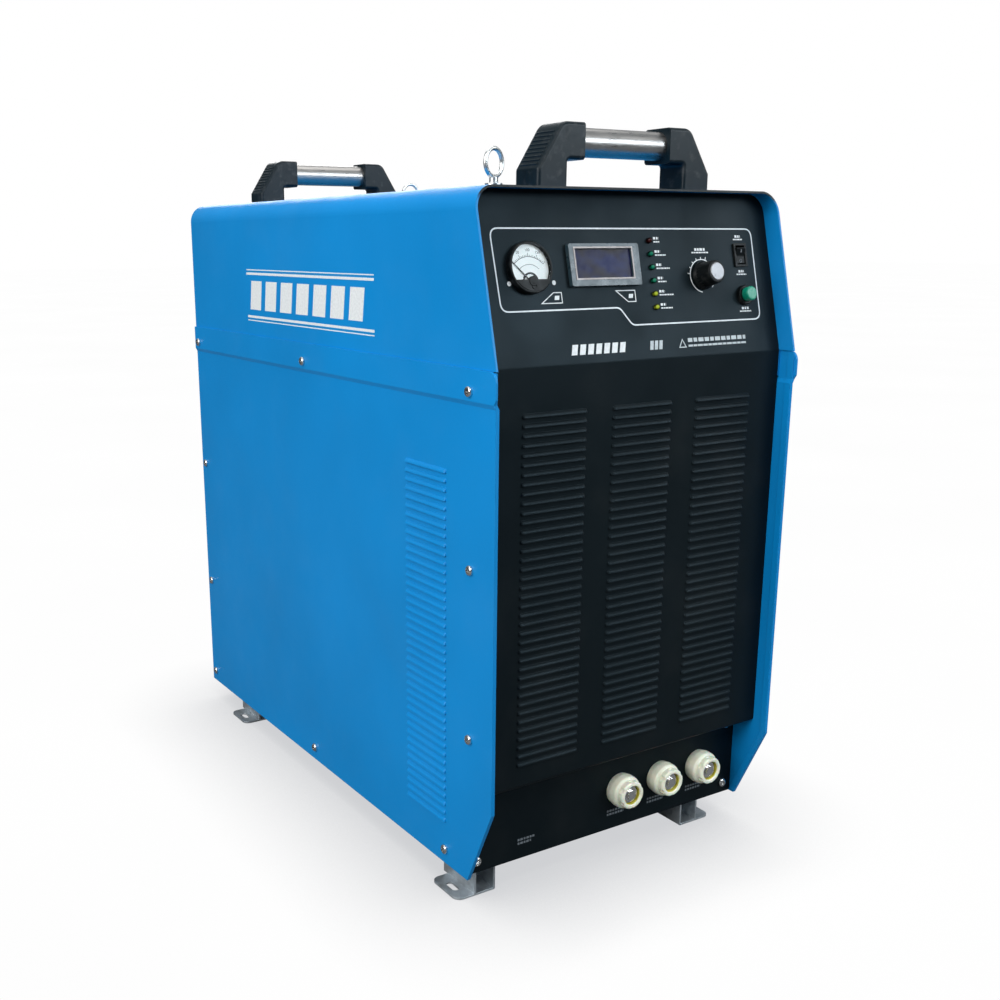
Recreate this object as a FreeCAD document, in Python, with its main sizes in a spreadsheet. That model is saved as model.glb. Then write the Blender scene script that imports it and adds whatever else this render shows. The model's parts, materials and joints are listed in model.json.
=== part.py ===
"""Plasma cutter unit: an inverter power source in a folded sheet-metal case.

Frame: x = 0 and y = 0 in the middle of the finished unit, z = 0 at the soles of the feet; +X to
the right of somebody facing the controls and +Y to the rear. The sub-parts are drawn with y = 0
at the front edge of the side panels, and keep() moves each finished one back to the middle.
All sizes are in millimetres.
"""
import FreeCAD
import Part
import Sketcher
import math
import os
from FreeCAD import Placement, Rotation, Vector

doc = FreeCAD.newDocument("plasma_cutter_unit")

# --------------------------------------------------------------------------------------------
# Driving dimensions
# --------------------------------------------------------------------------------------------
DIMENSIONS = {
    # case
    "case_width": 350,
    "case_depth": 667,
    "case_height": 625,        # underside of the case to the roof
    "foot_height": 26,
    "plate": 2,                # sheet thickness of every folded part
    "seam_height": 477,        # top edge of the side panels above the underside
    "top_setback": 36,         # how far the front edge leans back from the seam to the roof
    "corner_setback": 38,      # cut-off lower front corner of the side panels, along y
    "corner_height": 82,       # the same cut-off, along z
    "roof_radius": 20,
    "band_height": 27,         # joggled top margin of the side panels
    "band_nose": 2.5,          # how far that margin stands in front of the panel
    "band_slope": 4,           # height of the joggle's sloping part
    "sheet_gap": 0.1,          # assembly gap between neighbouring sheets
    "fascia_recess": 18,       # front panel behind the front edge
    "fascia_bottom": 90,       # lower edge of the louvred area above the underside
    "terminal_recess": 45,     # terminal panel behind the front edge
    "flange": 25,              # folded edges that take the screws
    "rear_recess": 3,
    "shelf_height": 440,
    # louvres
    "louvre_length": 70,
    "louvre_pitch": 8.45,
    "louvre_rise": 2.2,
    "louvre_skin": 0.8,
    "front_louvre_rows": 39,
    "front_louvre_low": 114,
    "front_louvre_spread": 100,
    "side_louvre_rows": 41,
    "side_louvre_low": 45,
    "side_louvre_middle": 110,
    # screws of the case
    "screw_hole": 5.2,
    "screw_shank": 4.6,
    "screw_head": 9.5,
    "screw_head_height": 3.2,
    "screw_front": 36,
    "screw_low_front": 76,
    "screw_middle": 354,
    "screw_rear": 654,
    "screw_low": 15,
    "screw_second": 143,
    "screw_third": 302,
    "screw_top": 458,
    # feet
    "foot_width": 24,
    "foot_length": 54,
    "foot_flange": 20,
    "foot_left": -148,         # middle of the left feet
    "foot_right": 116,         # middle of the right feet
    "foot_front": 75,
    "foot_rear": 577,
    "foot_slot_width": 7,
    "foot_slot_length": 17,
    # carrying handles and lifting eyes
    "handle_inset": 31,        # handle centre line from the edge of the roof
    "handle_length": 198,
    "handle_height": 54,
    "handle_depth": 34,
    "handle_leg": 32,
    "handle_sleeve": 50,
    "grip_diameter": 25,
    "handle_bolt": 82,         # handle bolts left and right of the middle
    "front_eye": -133,         # lifting eyes from the middle of the roof
    "rear_eye": 127,
    "eye_inner": 19,
    "eye_wire": 3.8,
    # controls, across from the middle and up the leaning face from the bend
    "meter_across": -117.5,
    "meter_up": 83,
    "meter_diameter": 44.5,
    "display_across": -35.5,
    "display_up": 84.5,
    "display_width": 79,
    "display_height": 37,
    "lamp_across": 21,
    "lamp_low": 46,
    "lamp_pitch": 12,
    "knob_across": 82.7,
    "knob_up": 73.4,
    "knob_diameter": 24,
    "knob_height": 19,
    "switch_across": 133.5,
    "rocker_up": 92,
    "button_up": 54,
    "button_travel": 3,
    # output terminals
    "terminal_left": 14.5,
    "terminal_pitch": 53.5,
    "terminal_height": 42.5,
    "terminal_length": 21,
    "terminal_diameter": 35,
    "stud_diameter": 10,
    # rear
    "fan_size": 150,
    "fan_depth": 50,
    "fan_across": -70,
    "fan_low": 110,
    "fan_pitch": 175,
    "barb_reach": 27,          # gas inlet behind the rear panel
}

size = doc.addObject("Spreadsheet::Sheet", "size")
for row, (alias, amount) in enumerate(DIMENSIONS.items(), start=1):
    size.set("A%d" % row, alias)
    size.set("B%d" % row, str(amount))
    size.setAlias("B%d" % row, alias)
doc.recompute()

# Formulas that several sub-parts share
HALF_WIDTH = "(size.case_width / 2)"
INNER_HALF = "(size.case_width / 2 - size.plate - size.sheet_gap)"
UNDERSIDE = "size.foot_height"
SEAM_Z = "(size.foot_height + size.seam_height)"
ROOF_Z = "(size.foot_height + size.case_height)"
LEAN = "atan(size.top_setback / (size.case_height - size.seam_height))"
REAR_FACE = "(size.case_depth - size.rear_recess)"
MIDDLE = "((%s + size.barb_reach - size.band_nose) / 2)" % REAR_FACE
FRONT_HANDLE_Y = "(size.top_setback + size.handle_inset)"
REAR_HANDLE_Y = "(size.case_depth - size.handle_inset)"
TERMINAL_Z = "(size.foot_height + size.terminal_height)"

X_AXIS = Vector(1, 0, 0)
Y_AXIS = Vector(0, 1, 0)
Z_AXIS = Vector(0, 0, 1)
nodes = []


# --------------------------------------------------------------------------------------------
# Helpers
# --------------------------------------------------------------------------------------------
def number(formula):
    """The present value of a formula on the sheet."""
    answer = size.evalExpression(formula)
    return float(getattr(answer, "Value", answer))


def bind(piece, formulas):
    """Tie properties of a piece to formulas on the sheet."""
    for path, formula in formulas.items():
        piece.setExpression(path, str(formula))


def place(piece, x, y, z, rotation=Rotation()):
    """Turn a piece by a fixed rotation and tie its position to the sheet."""
    piece.Placement = Placement(Vector(number(str(x)), number(str(y)), number(str(z))), rotation)
    bind(piece, {"Placement.Base.x": x, "Placement.Base.y": y, "Placement.Base.z": z})
    return piece


def keep(piece):
    """Count a finished sub-part as a node and move it so that y = 0 is the unit's middle."""
    own = [rule[1] for rule in piece.ExpressionEngine if rule[0].endswith("Placement.Base.y")]
    bind(piece, {"Placement.Base.y": "%s - %s" % (own[0] if own else "0", MIDDLE)})
    nodes.append(piece)
    return piece


def box(name, length, width, height, x, y, z):
    piece = doc.addObject("Part::Box", name)
    bind(piece, {"Length": length, "Width": width, "Height": height})
    return place(piece, x, y, z)


def rod(name, diameter, length, x, y, z, along=Z_AXIS):
    """A round bar from a starting point along an axis."""
    piece = doc.addObject("Part::Cylinder", name)
    bind(piece, {"Radius": "(%s) / 2" % diameter, "Height": length})
    return place(piece, x, y, z, Rotation(Z_AXIS, along))


def hexagon(name, flats, length, x, y, z, along=Z_AXIS):
    """A hexagonal bar with the given width across flats."""
    piece = doc.addObject("Part::Prism", name)
    piece.Polygon = 6
    bind(piece, {"Circumradius": "(%s) / 2 / cos(30 deg)" % flats, "Height": length})
    return place(piece, x, y, z, Rotation(Z_AXIS, along))


def union(name, pieces):
    joined = doc.addObject("Part::MultiFuse", name)
    joined.Shapes = pieces
    return joined


def group(name, pieces):
    """Separate solids that share one name."""
    together = doc.addObject("Part::Compound", name)
    together.Links = pieces
    return together


def cut(name, base, tools):
    """A base with one or more separate tools taken away."""
    piece = doc.addObject("Part::Cut", name)
    piece.Base = base
    piece.Tool = tools[0] if len(tools) == 1 else group(name + "_cutters", tools)
    return piece


def common(name, first, second):
    piece = doc.addObject("Part::Common", name)
    piece.Base = first
    piece.Tool = second
    return piece


def ring(name, outer, inner, length, x, y, z, along=Z_AXIS):
    """A washer or short tube."""
    return cut(name, rod(name + "_outside", outer, length, x, y, z, along),
               [rod(name + "_bore", inner, length, x, y, z, along)])


def nut(name, flats, hole, length, x, y, z, along=Z_AXIS):
    return cut(name, hexagon(name + "_outside", flats, length, x, y, z, along),
               [rod(name + "_bore", hole, length, x, y, z, along)])


def body_named(name):
    return doc.addObject("PartDesign::Body", name)


def sketch_on(body, role, offset="0"):
    """A sketch on one of a body's own origin planes, moved along that plane's normal."""
    sketch = body.newObject("Sketcher::SketchObject", body.Name + "_sketch")
    plane = next(item for item in body.Origin.OriginFeatures if item.Role == role)
    sketch.AttachmentSupport = [(plane, "")]
    sketch.MapMode = "FlatFace"
    bind(sketch, {"AttachmentOffset.Base.z": offset})
    return sketch


def tie(sketch, rule, formula):
    """Add a dimension to a sketch and bind it to a formula."""
    index = sketch.addConstraint(rule)
    name = "size_%d" % index
    sketch.renameConstraint(index, name)
    sketch.setExpression("Constraints." + name, formula)


def pin_point(sketch, item, end, x, y):
    """Hold a point of a sketch at two distances from the origin."""
    tie(sketch, Sketcher.Constraint("DistanceX", -1, 1, item, end, number(x)), x)
    tie(sketch, Sketcher.Constraint("DistanceY", -1, 1, item, end, number(y)), y)


def corner_arc(sketch, corner, arrive, leave, radius):
    """Round a corner; returns the arc and which of its ends meets each side."""
    inward = ((arrive + leave) / 2 - corner).normalize()
    centre = corner + inward * math.hypot(radius, (arrive - corner).Length)
    start, end = arrive - centre, leave - centre
    turns_left = start.cross(end).z > 0
    if not turns_left:
        start, end = end, start
    circle = Part.Circle(centre, Z_AXIS, radius)
    arc = Part.ArcOfCircle(circle, math.atan2(start.y, start.x), math.atan2(end.y, end.x))
    ends = (1, 2) if turns_left else (2, 1)
    return sketch.addGeometry(arc, False), ends


def outline(sketch, corners, closed=True):
    """Draw straight sides through corners (x, y) or rounded corners (x, y, radius), as formulas."""
    corners = [tuple(str(part) for part in corner) for corner in corners]
    points = [Vector(number(corner[0]), number(corner[1]), 0) for corner in corners]
    radii = [number(corner[2]) if len(corner) > 2 else 0 for corner in corners]
    count = len(corners)
    arrive, leave = list(points), list(points)
    for index, radius in enumerate(radii):
        if radius:
            back = (points[index - 1] - points[index]).normalize()
            ahead = (points[(index + 1) % count] - points[index]).normalize()
            reach = radius / math.tan(back.getAngle(ahead) / 2)
            arrive[index] = points[index] + back * reach
            leave[index] = points[index] + ahead * reach
    sides = count if closed else count - 1
    first = sketch.GeometryCount
    lines = [Part.LineSegment(leave[side], arrive[(side + 1) % count]) for side in range(sides)]
    sketch.addGeometry(lines, False)
    for index, corner in enumerate(corners):
        before, after = first + (index - 1) % count, first + index
        if not closed and index == 0:
            pin_point(sketch, after, 1, corner[0], corner[1])
        elif not closed and index == count - 1:
            pin_point(sketch, before, 2, corner[0], corner[1])
        elif radii[index]:
            arc, ends = corner_arc(sketch, points[index], arrive[index], leave[index], radii[index])
            spot = sketch.addGeometry(Part.Point(points[index]), True)
            sketch.addConstraint([
                Sketcher.Constraint("Tangent", before, 2, arc, ends[0]),
                Sketcher.Constraint("Tangent", arc, ends[1], after, 1),
                Sketcher.Constraint("PointOnObject", spot, 1, before),
                Sketcher.Constraint("PointOnObject", spot, 1, after)])
            tie(sketch, Sketcher.Constraint("Radius", arc, radii[index]), corner[2])
            pin_point(sketch, spot, 1, corner[0], corner[1])
        else:
            sketch.addConstraint(Sketcher.Constraint("Coincident", before, 2, after, 1))
            pin_point(sketch, after, 1, corner[0], corner[1])
    return sketch


def circle(sketch, x, y, diameter):
    centre = Vector(number(x), number(y), 0)
    item = sketch.addGeometry(Part.Circle(centre, Z_AXIS, number(diameter) / 2), False)
    tie(sketch, Sketcher.Constraint("Diameter", item, number(diameter)), diameter)
    pin_point(sketch, item, 3, x, y)
    return sketch


def rectangle(sketch, left, low, right, high, radius=None):
    corners = [(left, low), (right, low), (right, high), (left, high)]
    if radius:
        corners = [corner + (radius,) for corner in corners]
    return outline(sketch, corners)


def pad(body, sketch, length, backwards=False, both=False):
    feature = body.newObject("PartDesign::Pad", body.Name + "_pad")
    feature.Profile = sketch
    feature.Reversed = backwards
    feature.Midplane = both
    bind(feature, {"Length": str(length)})
    return feature


def pocket(body, sketch, length, backwards=False, both=False):
    feature = body.newObject("PartDesign::Pocket", body.Name + "_pocket")
    feature.Profile = sketch
    feature.Reversed = backwards
    feature.Midplane = both
    bind(feature, {"Length": str(length)})
    return feature


def turned(name, corners):
    """A body turned about z; corners are (radius, z) pairs of its half section."""
    body = body_named(name)
    sketch = outline(sketch_on(body, "XZ_Plane"), corners)
    feature = body.newObject("PartDesign::Revolution", name + "_turn")
    feature.Profile = sketch
    feature.ReferenceAxis = (sketch, ["V_Axis"])
    return body


def extruded(name, role, corners, length, offset="0", backwards=False, both=False):
    """A body padded from one closed outline."""
    body = body_named(name)
    pad(body, outline(sketch_on(body, role, offset), corners), length, backwards, both)
    return body


def soften(body, radius, wanted):
    """Round the edges of a body that a test picks out."""
    doc.recompute()
    tip = body.Tip
    names = ["Edge%d" % (index + 1) for index, edge in enumerate(tip.Shape.Edges) if wanted(edge)]
    feature = body.newObject("PartDesign::Fillet", body.Name + "_fillet")
    feature.Base = (tip, names)
    bind(feature, {"Radius": str(radius)})
    return feature


def on_fascia(piece, across, up, out="0", tilt=0):
    """Put a piece on the leaning face: its x across, its y up the face, its z outwards."""
    y = "size.fascia_recess + (%s) * sin(%s) - (%s) * cos(%s)" % (up, LEAN, out, LEAN)
    z = "%s + (%s) * cos(%s) + (%s) * sin(%s)" % (SEAM_Z, up, LEAN, out, LEAN)
    turn = Rotation(X_AXIS, 90 - number(LEAN) + tilt)
    return place(piece, across, y, z, turn)


def on_front(piece, across, height, y):
    """Put a piece on an upright face that looks forward: its y up, its z outwards."""
    return place(piece, across, y, height, Rotation(X_AXIS, 90))


def on_rear(piece, across, height, y):
    """Put a piece on an upright face that looks rearward: its y up, its z outwards."""
    return place(piece, across, y, height, Rotation(Z_AXIS, 180) * Rotation(X_AXIS, 90))


# --------------------------------------------------------------------------------------------
# Cutting tools shared by several sheets
# --------------------------------------------------------------------------------------------
SCREW_PLACES = [
    ("size.screw_front", "size.screw_top"),
    ("size.screw_middle", "size.screw_top"),
    ("size.screw_rear", "size.screw_top"),
    ("size.screw_front", "size.screw_third"),
    ("size.screw_rear", "size.screw_third"),
    ("size.screw_front", "size.screw_second"),
    ("size.screw_rear", "size.screw_second"),
    ("size.screw_low_front", "size.screw_low"),
    ("size.screw_middle", "size.screw_low"),
    ("size.screw_rear", "size.screw_low"),
]
PANEL_SCREW_PLACES = [(across, height) for across in (-160, 160) for height in (12, 80)]


def screw_holes():
    """Straight holes across the case for every pair of side screws."""
    holes = [rod("side_screw_hole_%d" % index, "size.screw_hole", "size.case_width + 20",
                 "-%s - 10" % HALF_WIDTH, y, "%s + %s" % (UNDERSIDE, height), X_AXIS)
             for index, (y, height) in enumerate(SCREW_PLACES)]
    return group("side_screw_holes", holes)


def panel_screw_holes(name, length, y):
    """Four corner holes through the terminal panel and what lies behind it."""
    holes = [rod("%s_%d" % (name, index), "size.screw_hole", length, across, y,
                 "%s + %s" % (UNDERSIDE, height), Y_AXIS)
             for index, (across, height) in enumerate(PANEL_SCREW_PLACES)]
    return group(name, holes)


def louvre_shapes():
    """One pressed hood, standing out of the plane y = 0 towards -y, and the gap behind it."""
    length = number("size.louvre_length")
    rise = number("size.louvre_rise")
    skin = number("size.louvre_skin")
    plate = number("size.plate")
    top, lip = rise * 1.2, -rise * 0.55
    sunk = plate / 2
    crown = Part.Arc(Vector(0, 0, top), Vector(0, -rise * 0.75, rise * 0.45), Vector(0, -rise, lip))
    edges = [crown.toShape(),
             Part.makeLine(Vector(0, -rise, lip), Vector(0, sunk, lip)),
             Part.makeLine(Vector(0, sunk, lip), Vector(0, sunk, top)),
             Part.makeLine(Vector(0, sunk, top), Vector(0, 0, top))]
    profile = Part.Face(Part.Wire(edges))
    profile.translate(Vector(-length / 2, 0, 0))
    hood = profile.extrude(Vector(length, 0, 0))
    ends = [edge for edge in hood.Edges
            if edge.Curve.TypeId == "Part::GeomCircle" and edge.Length < length]
    hood = hood.makeFillet(rise * 0.8, ends)
    gap = Part.makeBox(length - 2 * skin, rise - skin + plate + 1, rise,
                       Vector(-length / 2 + skin, -rise + skin, lip - 0.1))
    return hood, gap


def louvre_field(name, columns, rows, low, turn, base):
    """Hoods and gaps for columns of louvres, turned and moved onto their sheet."""
    hood, gap = louvre_shapes()
    pitch = number("size.louvre_pitch")
    spots = [Vector(across, 0, low + row * pitch) for across in columns for row in range(rows)]
    pieces = []
    for kind, shape in (("hoods", hood), ("gaps", gap)):
        field = doc.addObject("Part::Feature", "%s_%s" % (name, kind))
        field.Shape = Part.makeCompound([shape.translated(spot) for spot in spots])
        field.Placement = Placement(base, turn)
        pieces.append(field)
    return pieces


# --------------------------------------------------------------------------------------------
# Case
# --------------------------------------------------------------------------------------------
FOOT_PLACES = [(side, along) for side in ("size.foot_left", "size.foot_right")
               for along in ("size.foot_front", "size.foot_rear")]
FOOT_BOLT_PITCH = 26


def foot_bolt_places():
    """Two bolts through the top of every foot bracket into the base pan."""
    return [(across, "%s + %s" % (along, step)) for across, along in FOOT_PLACES
            for step in (-FOOT_BOLT_PITCH / 2, FOOT_BOLT_PITCH / 2)]


def inside_of_hood():
    """The space that the hood and side panels leave for the end panels."""
    top = "(%s - size.plate - size.sheet_gap)" % ROOF_Z
    radius = "size.roof_radius - size.plate"
    corners = [("-" + INNER_HALF, "0"), (INNER_HALF, "0"),
               (INNER_HALF, top, radius), ("-" + INNER_HALF, top, radius)]
    return extruded("inside_of_hood", "XZ_Plane", corners, "size.case_depth", backwards=True)


def base_pan(holes):
    """Floor of the case: a tray whose upturned edges take the low screws."""
    front = "(size.terminal_recess + size.plate)"
    depth = "(%s - 2 * size.plate - %s)" % (REAR_FACE, front)
    outside = box("base_pan_outside", "2 * " + INNER_HALF, depth, "size.flange",
                  "-" + INNER_HALF, front, UNDERSIDE)
    inside = box("base_pan_inside", "2 * (%s - size.plate)" % INNER_HALF, depth + " - 2 * size.plate",
                 "size.flange", "-(%s - size.plate)" % INNER_HALF, front + " + size.plate",
                 UNDERSIDE + " + size.plate")
    bolts = [rod("base_bolt_hole_%d" % index, "size.screw_hole", 10, x, y, UNDERSIDE + " - 5")
             for index, (x, y) in enumerate(foot_bolt_places())]
    screws = panel_screw_holes("base_pan_front_holes", 20, "size.terminal_recess - 5")
    return keep(cut("base_pan", outside, [inside, holes, screws] + bolts))


def fascia_outline():
    """Section of the front panel from the roof down to the flange behind the terminal panel."""
    top = "(%s - size.plate)" % ROOF_Z
    front = "size.fascia_recess"
    low = "(%s + size.fascia_bottom)" % UNDERSIDE
    back = "(size.terminal_recess + size.plate)"
    climb = "(%s - %s) * tan(%s)" % (top, SEAM_Z, LEAN)
    bend = "size.plate * tan(%s / 2)" % LEAN
    across = "size.plate / cos(%s)" % LEAN
    return [("%s + %s" % (front, climb), top),
            (front, SEAM_Z, "size.plate * 3"),
            (front, low, "size.plate * 2"),
            (back, low),
            (back, low + " - size.flange * 0.8"),
            (back + " + size.plate", low + " - size.flange * 0.8"),
            (back + " + size.plate", low + " + size.plate"),
            (front + " + size.plate", low + " + size.plate", "size.plate"),
            (front + " + size.plate", "%s + %s" % (SEAM_Z, bend), "size.plate * 2"),
            ("%s + %s + %s" % (front, climb, across), top)]


def fascia_wing_outline():
    """Side view of the folded edges that run back from the front panel."""
    top = "(%s - size.plate)" % ROOF_Z
    front = "(size.fascia_recess + size.plate / 2)"
    low = "(%s + size.fascia_bottom + size.plate / 2)" % UNDERSIDE
    climb = "(%s - %s) * tan(%s)" % (top, SEAM_Z, LEAN)
    back = "(size.terminal_recess + size.plate)"
    return [("%s + %s" % (front, climb), top), (front, SEAM_Z), (front, low), (back, low),
            (back, SEAM_Z), ("%s + %s" % (back, climb), top)]


def fascia_cutouts():
    """Openings in the leaning face for everything that is fitted to it."""
    meter = on_fascia(rod("meter_hole", "size.meter_diameter - 6", 20, 0, 0, 0),
                      "size.meter_across", "size.meter_up", -10)
    width, height = "(size.display_width - 3)", "(size.display_height - 2)"
    display = on_fascia(box("display_hole", width, height, 20, 0, 0, 0),
                        "size.display_across - %s / 2" % width, "size.display_up - %s / 2" % height, -10)
    lamps = [on_fascia(rod("lamp_hole_%d" % index, 5.1, 20, 0, 0, 0), "size.lamp_across", height, -10)
             for index, height in enumerate(lamp_heights())]
    knob = on_fascia(rod("knob_hole", 9.2, 20, 0, 0, 0), "size.knob_across", "size.knob_up", -10)
    rocker = on_fascia(box("rocker_hole", ROCKER_WIDTH + 0.1, ROCKER_HEIGHT + 0.1, 20, 0, 0, 0),
                       "size.switch_across - %s" % ((ROCKER_WIDTH + 0.1) / 2),
                       "size.rocker_up - %s" % ((ROCKER_HEIGHT + 0.1) / 2), -10)
    button = on_fascia(rod("button_hole", 16.1, 20, 0, 0, 0), "size.switch_across", "size.button_up", -10)
    return [meter, display, knob, rocker, button] + lamps


def front_panel(holes, envelope):
    """Black front panel: a leaning control face bent into an upright louvred face."""
    width = "2 * " + INNER_HALF
    sheet = body_named("front_sheet")
    pad(sheet, outline(sketch_on(sheet, "YZ_Plane"), fascia_outline()), width, both=True)
    for side in (-1, 1):
        wing = outline(sketch_on(sheet, "YZ_Plane", "%s * %s" % (side, INNER_HALF)), fascia_wing_outline())
        pad(sheet, wing, "size.plate", backwards=side > 0)
    spread = number("size.front_louvre_spread")
    hoods, gaps = louvre_field("front_louvre", (-spread, 0, spread), int(number("size.front_louvre_rows")),
                               number("size.front_louvre_low"), Rotation(),
                               Vector(0, number("size.fascia_recess"), number(UNDERSIDE)))
    pressed = union("front_sheet_pressed", [sheet, hoods])
    trimmed = common("front_sheet_trimmed", pressed, envelope)
    screws = panel_screw_holes("front_flange_holes", 20, "size.terminal_recess - 5")
    return keep(cut("front_panel", trimmed, [gaps, holes, screws] + fascia_cutouts()))


def terminal_panel():
    """Upright panel below the louvres that carries the output terminals."""
    height = "(size.fascia_bottom - 2 * size.sheet_gap)"
    sheet = box("terminal_sheet", "2 * " + INNER_HALF, "size.plate", height, "-" + INNER_HALF,
                "size.terminal_recess", UNDERSIDE + " + size.sheet_gap")
    start = "size.terminal_recess - 10"
    openings = [rod("terminal_hole_%d" % index, 22, 20, across, start, TERMINAL_Z, Y_AXIS)
                for index, across in enumerate(terminal_places())]
    screws = panel_screw_holes("terminal_panel_holes", 20, start)
    return keep(cut("terminal_panel", sheet, openings + [screws]))


def side_panel(name, side, holes):
    """Blue side panel with a joggled top margin, a hemmed front edge and one column of louvres."""
    joggle = "(size.plate + 0.05)"
    top = "(%s + size.seam_height)" % UNDERSIDE
    band = "(%s - size.band_height)" % top
    rear = "size.case_depth"
    slope = "(%s - size.band_slope)" % band
    hem = 7
    inward = side > 0
    sheet = body_named(name + "_sheet")

    face = "%s * %s" % (side, HALF_WIDTH)
    corners = [("size.corner_setback", UNDERSIDE), (rear, UNDERSIDE), (rear, slope), ("0", slope),
               ("0", "%s + size.corner_height" % UNDERSIDE)]
    pad(sheet, outline(sketch_on(sheet, "YZ_Plane", face), corners), "size.plate", inward)

    raised = "%s * (%s + %s)" % (side, HALF_WIDTH, joggle)
    hem_start, hem_plate = "size.plate", "(size.plate - 0.5)"
    for start, thick, length in (("0", "size.plate", rear), (hem_start, hem_plate, hem)):
        near, far = "%d * %s" % (side, start), "%d * (%s + %s)" % (side, start, thick)
        corners = [("%s - %s" % (face, near), slope), ("%s - %s" % (raised, near), band),
                   ("%s - %s" % (raised, far), band), ("%s - %s" % (face, far), slope)]
        pad(sheet, outline(sketch_on(sheet, "XZ_Plane"), corners), length, backwards=True)
    corners = [("0", band), (rear, band), (rear, top), ("-size.band_nose", top, 9),
               ("-size.band_nose", band + " + size.band_slope")]
    pad(sheet, outline(sketch_on(sheet, "YZ_Plane", raised), corners), "size.plate", inward)

    folded = "%s * (%s - size.plate)" % (side, HALF_WIDTH)
    low = "%s + size.corner_height" % UNDERSIDE
    corners = [("size.corner_setback", UNDERSIDE), ("size.corner_setback + %d" % hem, UNDERSIDE),
               (str(hem), low), (str(hem), slope), ("0", slope), ("0", low)]
    pad(sheet, outline(sketch_on(sheet, "YZ_Plane", folded), corners), hem_plate, inward)
    folded = "%s * (%s + %s - size.plate)" % (side, HALF_WIDTH, joggle)
    margin = rectangle(sketch_on(sheet, "YZ_Plane", folded), "0", band, str(hem), top + " - 1")
    pad(sheet, margin, hem_plate, inward)

    hoods, gaps = louvre_field(name + "_louvre", (0,), int(number("size.side_louvre_rows")),
                               number("size.side_louvre_low"), Rotation(Z_AXIS, 90 * side),
                               Vector(side * number(HALF_WIDTH), number("size.side_louvre_middle"),
                                      number(UNDERSIDE)))
    pressed = union(name + "_pressed", [sheet, hoods])
    return keep(cut(name, pressed, [gaps, holes]))


def hood_section(foot):
    """Inverted U seen from the front, one plate thick."""
    inner = "(%s - size.plate)" % HALF_WIDTH
    under = "(%s - size.plate)" % ROOF_Z
    inner_radius = "size.roof_radius - size.plate"
    return [("-" + HALF_WIDTH, foot), ("-" + HALF_WIDTH, ROOF_Z, "size.roof_radius"),
            (HALF_WIDTH, ROOF_Z, "size.roof_radius"), (HALF_WIDTH, foot), (inner, foot),
            (inner, under, inner_radius), ("-" + inner, under, inner_radius), ("-" + inner, foot)]


def hood_extent():
    """Side view of the hood: it leans back above the seam and is notched below it."""
    low = "(%s - size.band_height)" % SEAM_Z
    high = "(%s + 10)" % ROOF_Z
    rear = "size.case_depth"
    climb = "((%s - %s) * tan(%s))" % (high, SEAM_Z, LEAN)
    notch = "size.fascia_recess"
    corners = [(notch, low), (notch, SEAM_Z), ("0", SEAM_Z), (climb, high), (rear, high), (rear, low)]
    return extruded("hood_extent", "YZ_Plane", corners, "size.case_width + 20", both=True)


def top_hood(holes):
    """Blue hood: roof and both skirts bent from one sheet, with a leaning front edge."""
    foot = "(%s - size.band_height + 2)" % SEAM_Z
    shell = extruded("hood_shell", "XZ_Plane", hood_section(foot), "size.case_depth", backwards=True)
    bounded = common("hood_bounded", shell, hood_extent())
    openings = [rod("roof_hole_%d" % index, 6.6, 20, across, along, ROOF_Z + " - 10")
                for index, (across, along) in enumerate(handle_bolt_places())]
    openings += [rod("eye_hole_%d" % index, 8.4, 20, across, along, ROOF_Z + " - 10")
                 for index, (across, along) in enumerate(eye_places())]
    return keep(cut("top_hood", bounded, [holes] + openings))


def rear_panel(holes, envelope):
    """Grey rear panel with two fan openings and holes for the fittings."""
    bottom = UNDERSIDE + " + size.flange + 1"
    back = "(%s - size.plate)" % REAR_FACE
    height = "%s - (%s)" % (ROOF_Z, UNDERSIDE)
    plate = box("rear_plate", "2 * " + INNER_HALF, "size.plate", height, "-" + INNER_HALF, back, UNDERSIDE)
    wings = [box("rear_wing_%d" % index, "size.plate", "size.flange + 1", height, x,
                 back + " - size.flange", bottom)
             for index, x in enumerate(("-" + INNER_HALF, INNER_HALF + " - size.plate"))]
    trimmed = common("rear_trimmed", union("rear_sheet", [plate] + wings), envelope)
    start = back + " - 10"
    fans = [rod("fan_opening_%d" % index, "size.fan_size - 8", 20, "size.fan_across", start, z, Y_AXIS)
            for index, z in enumerate(fan_heights())]
    fans += [rod("fan_screw_hole_%d" % index, 4.5, 20, x, start, z, Y_AXIS)
             for index, (x, z) in enumerate(fan_screw_places())]
    breaker = box("breaker_opening", BREAKER_WIDTH + 0.4, 20, BREAKER_NOSE + 0.4,
                  "%s - %s" % (BREAKER_ACROSS, (BREAKER_WIDTH + 0.4) / 2), start,
                  "%s - %s" % (BREAKER_Z, (BREAKER_NOSE + 0.4) / 2))
    places = (("gland", 25.2, GLAND_Z), ("gas", 13.2, GAS_Z), ("earth", 8.2, EARTH_Z))
    fittings = [rod(name + "_hole", diameter, 20, FITTING_ACROSS, start, z, Y_AXIS)
                for name, diameter, z in places]
    return keep(cut("rear_panel", trimmed, [holes, breaker] + fans + fittings))


def upper_frame_rails(holes):
    """Angle bars that tie front and rear panels together behind the seam."""
    start = "(size.fascia_recess + 57)"
    length = "%s - size.flange - 20 - %s" % (REAR_FACE, start)
    low = "%s + size.shelf_height" % UNDERSIDE
    rails = []
    for name, side in (("left", -1), ("right", 1)):
        outer = "%s * %s" % (side, INNER_HALF)
        upright_x = outer if side < 0 else outer + " - size.plate"
        ledge_x = outer if side < 0 else outer + " - size.flange"
        upright = box(name + "_rail_upright", "size.plate", length, 35, upright_x, start, low)
        ledge = box(name + "_rail_ledge", "size.flange", length, "size.plate", ledge_x, start, low)
        rails.append(cut(name + "_rail", union(name + "_rail_angle", [upright, ledge]), [holes]))
    return keep(group("upper_frame_rails", rails))


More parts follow.
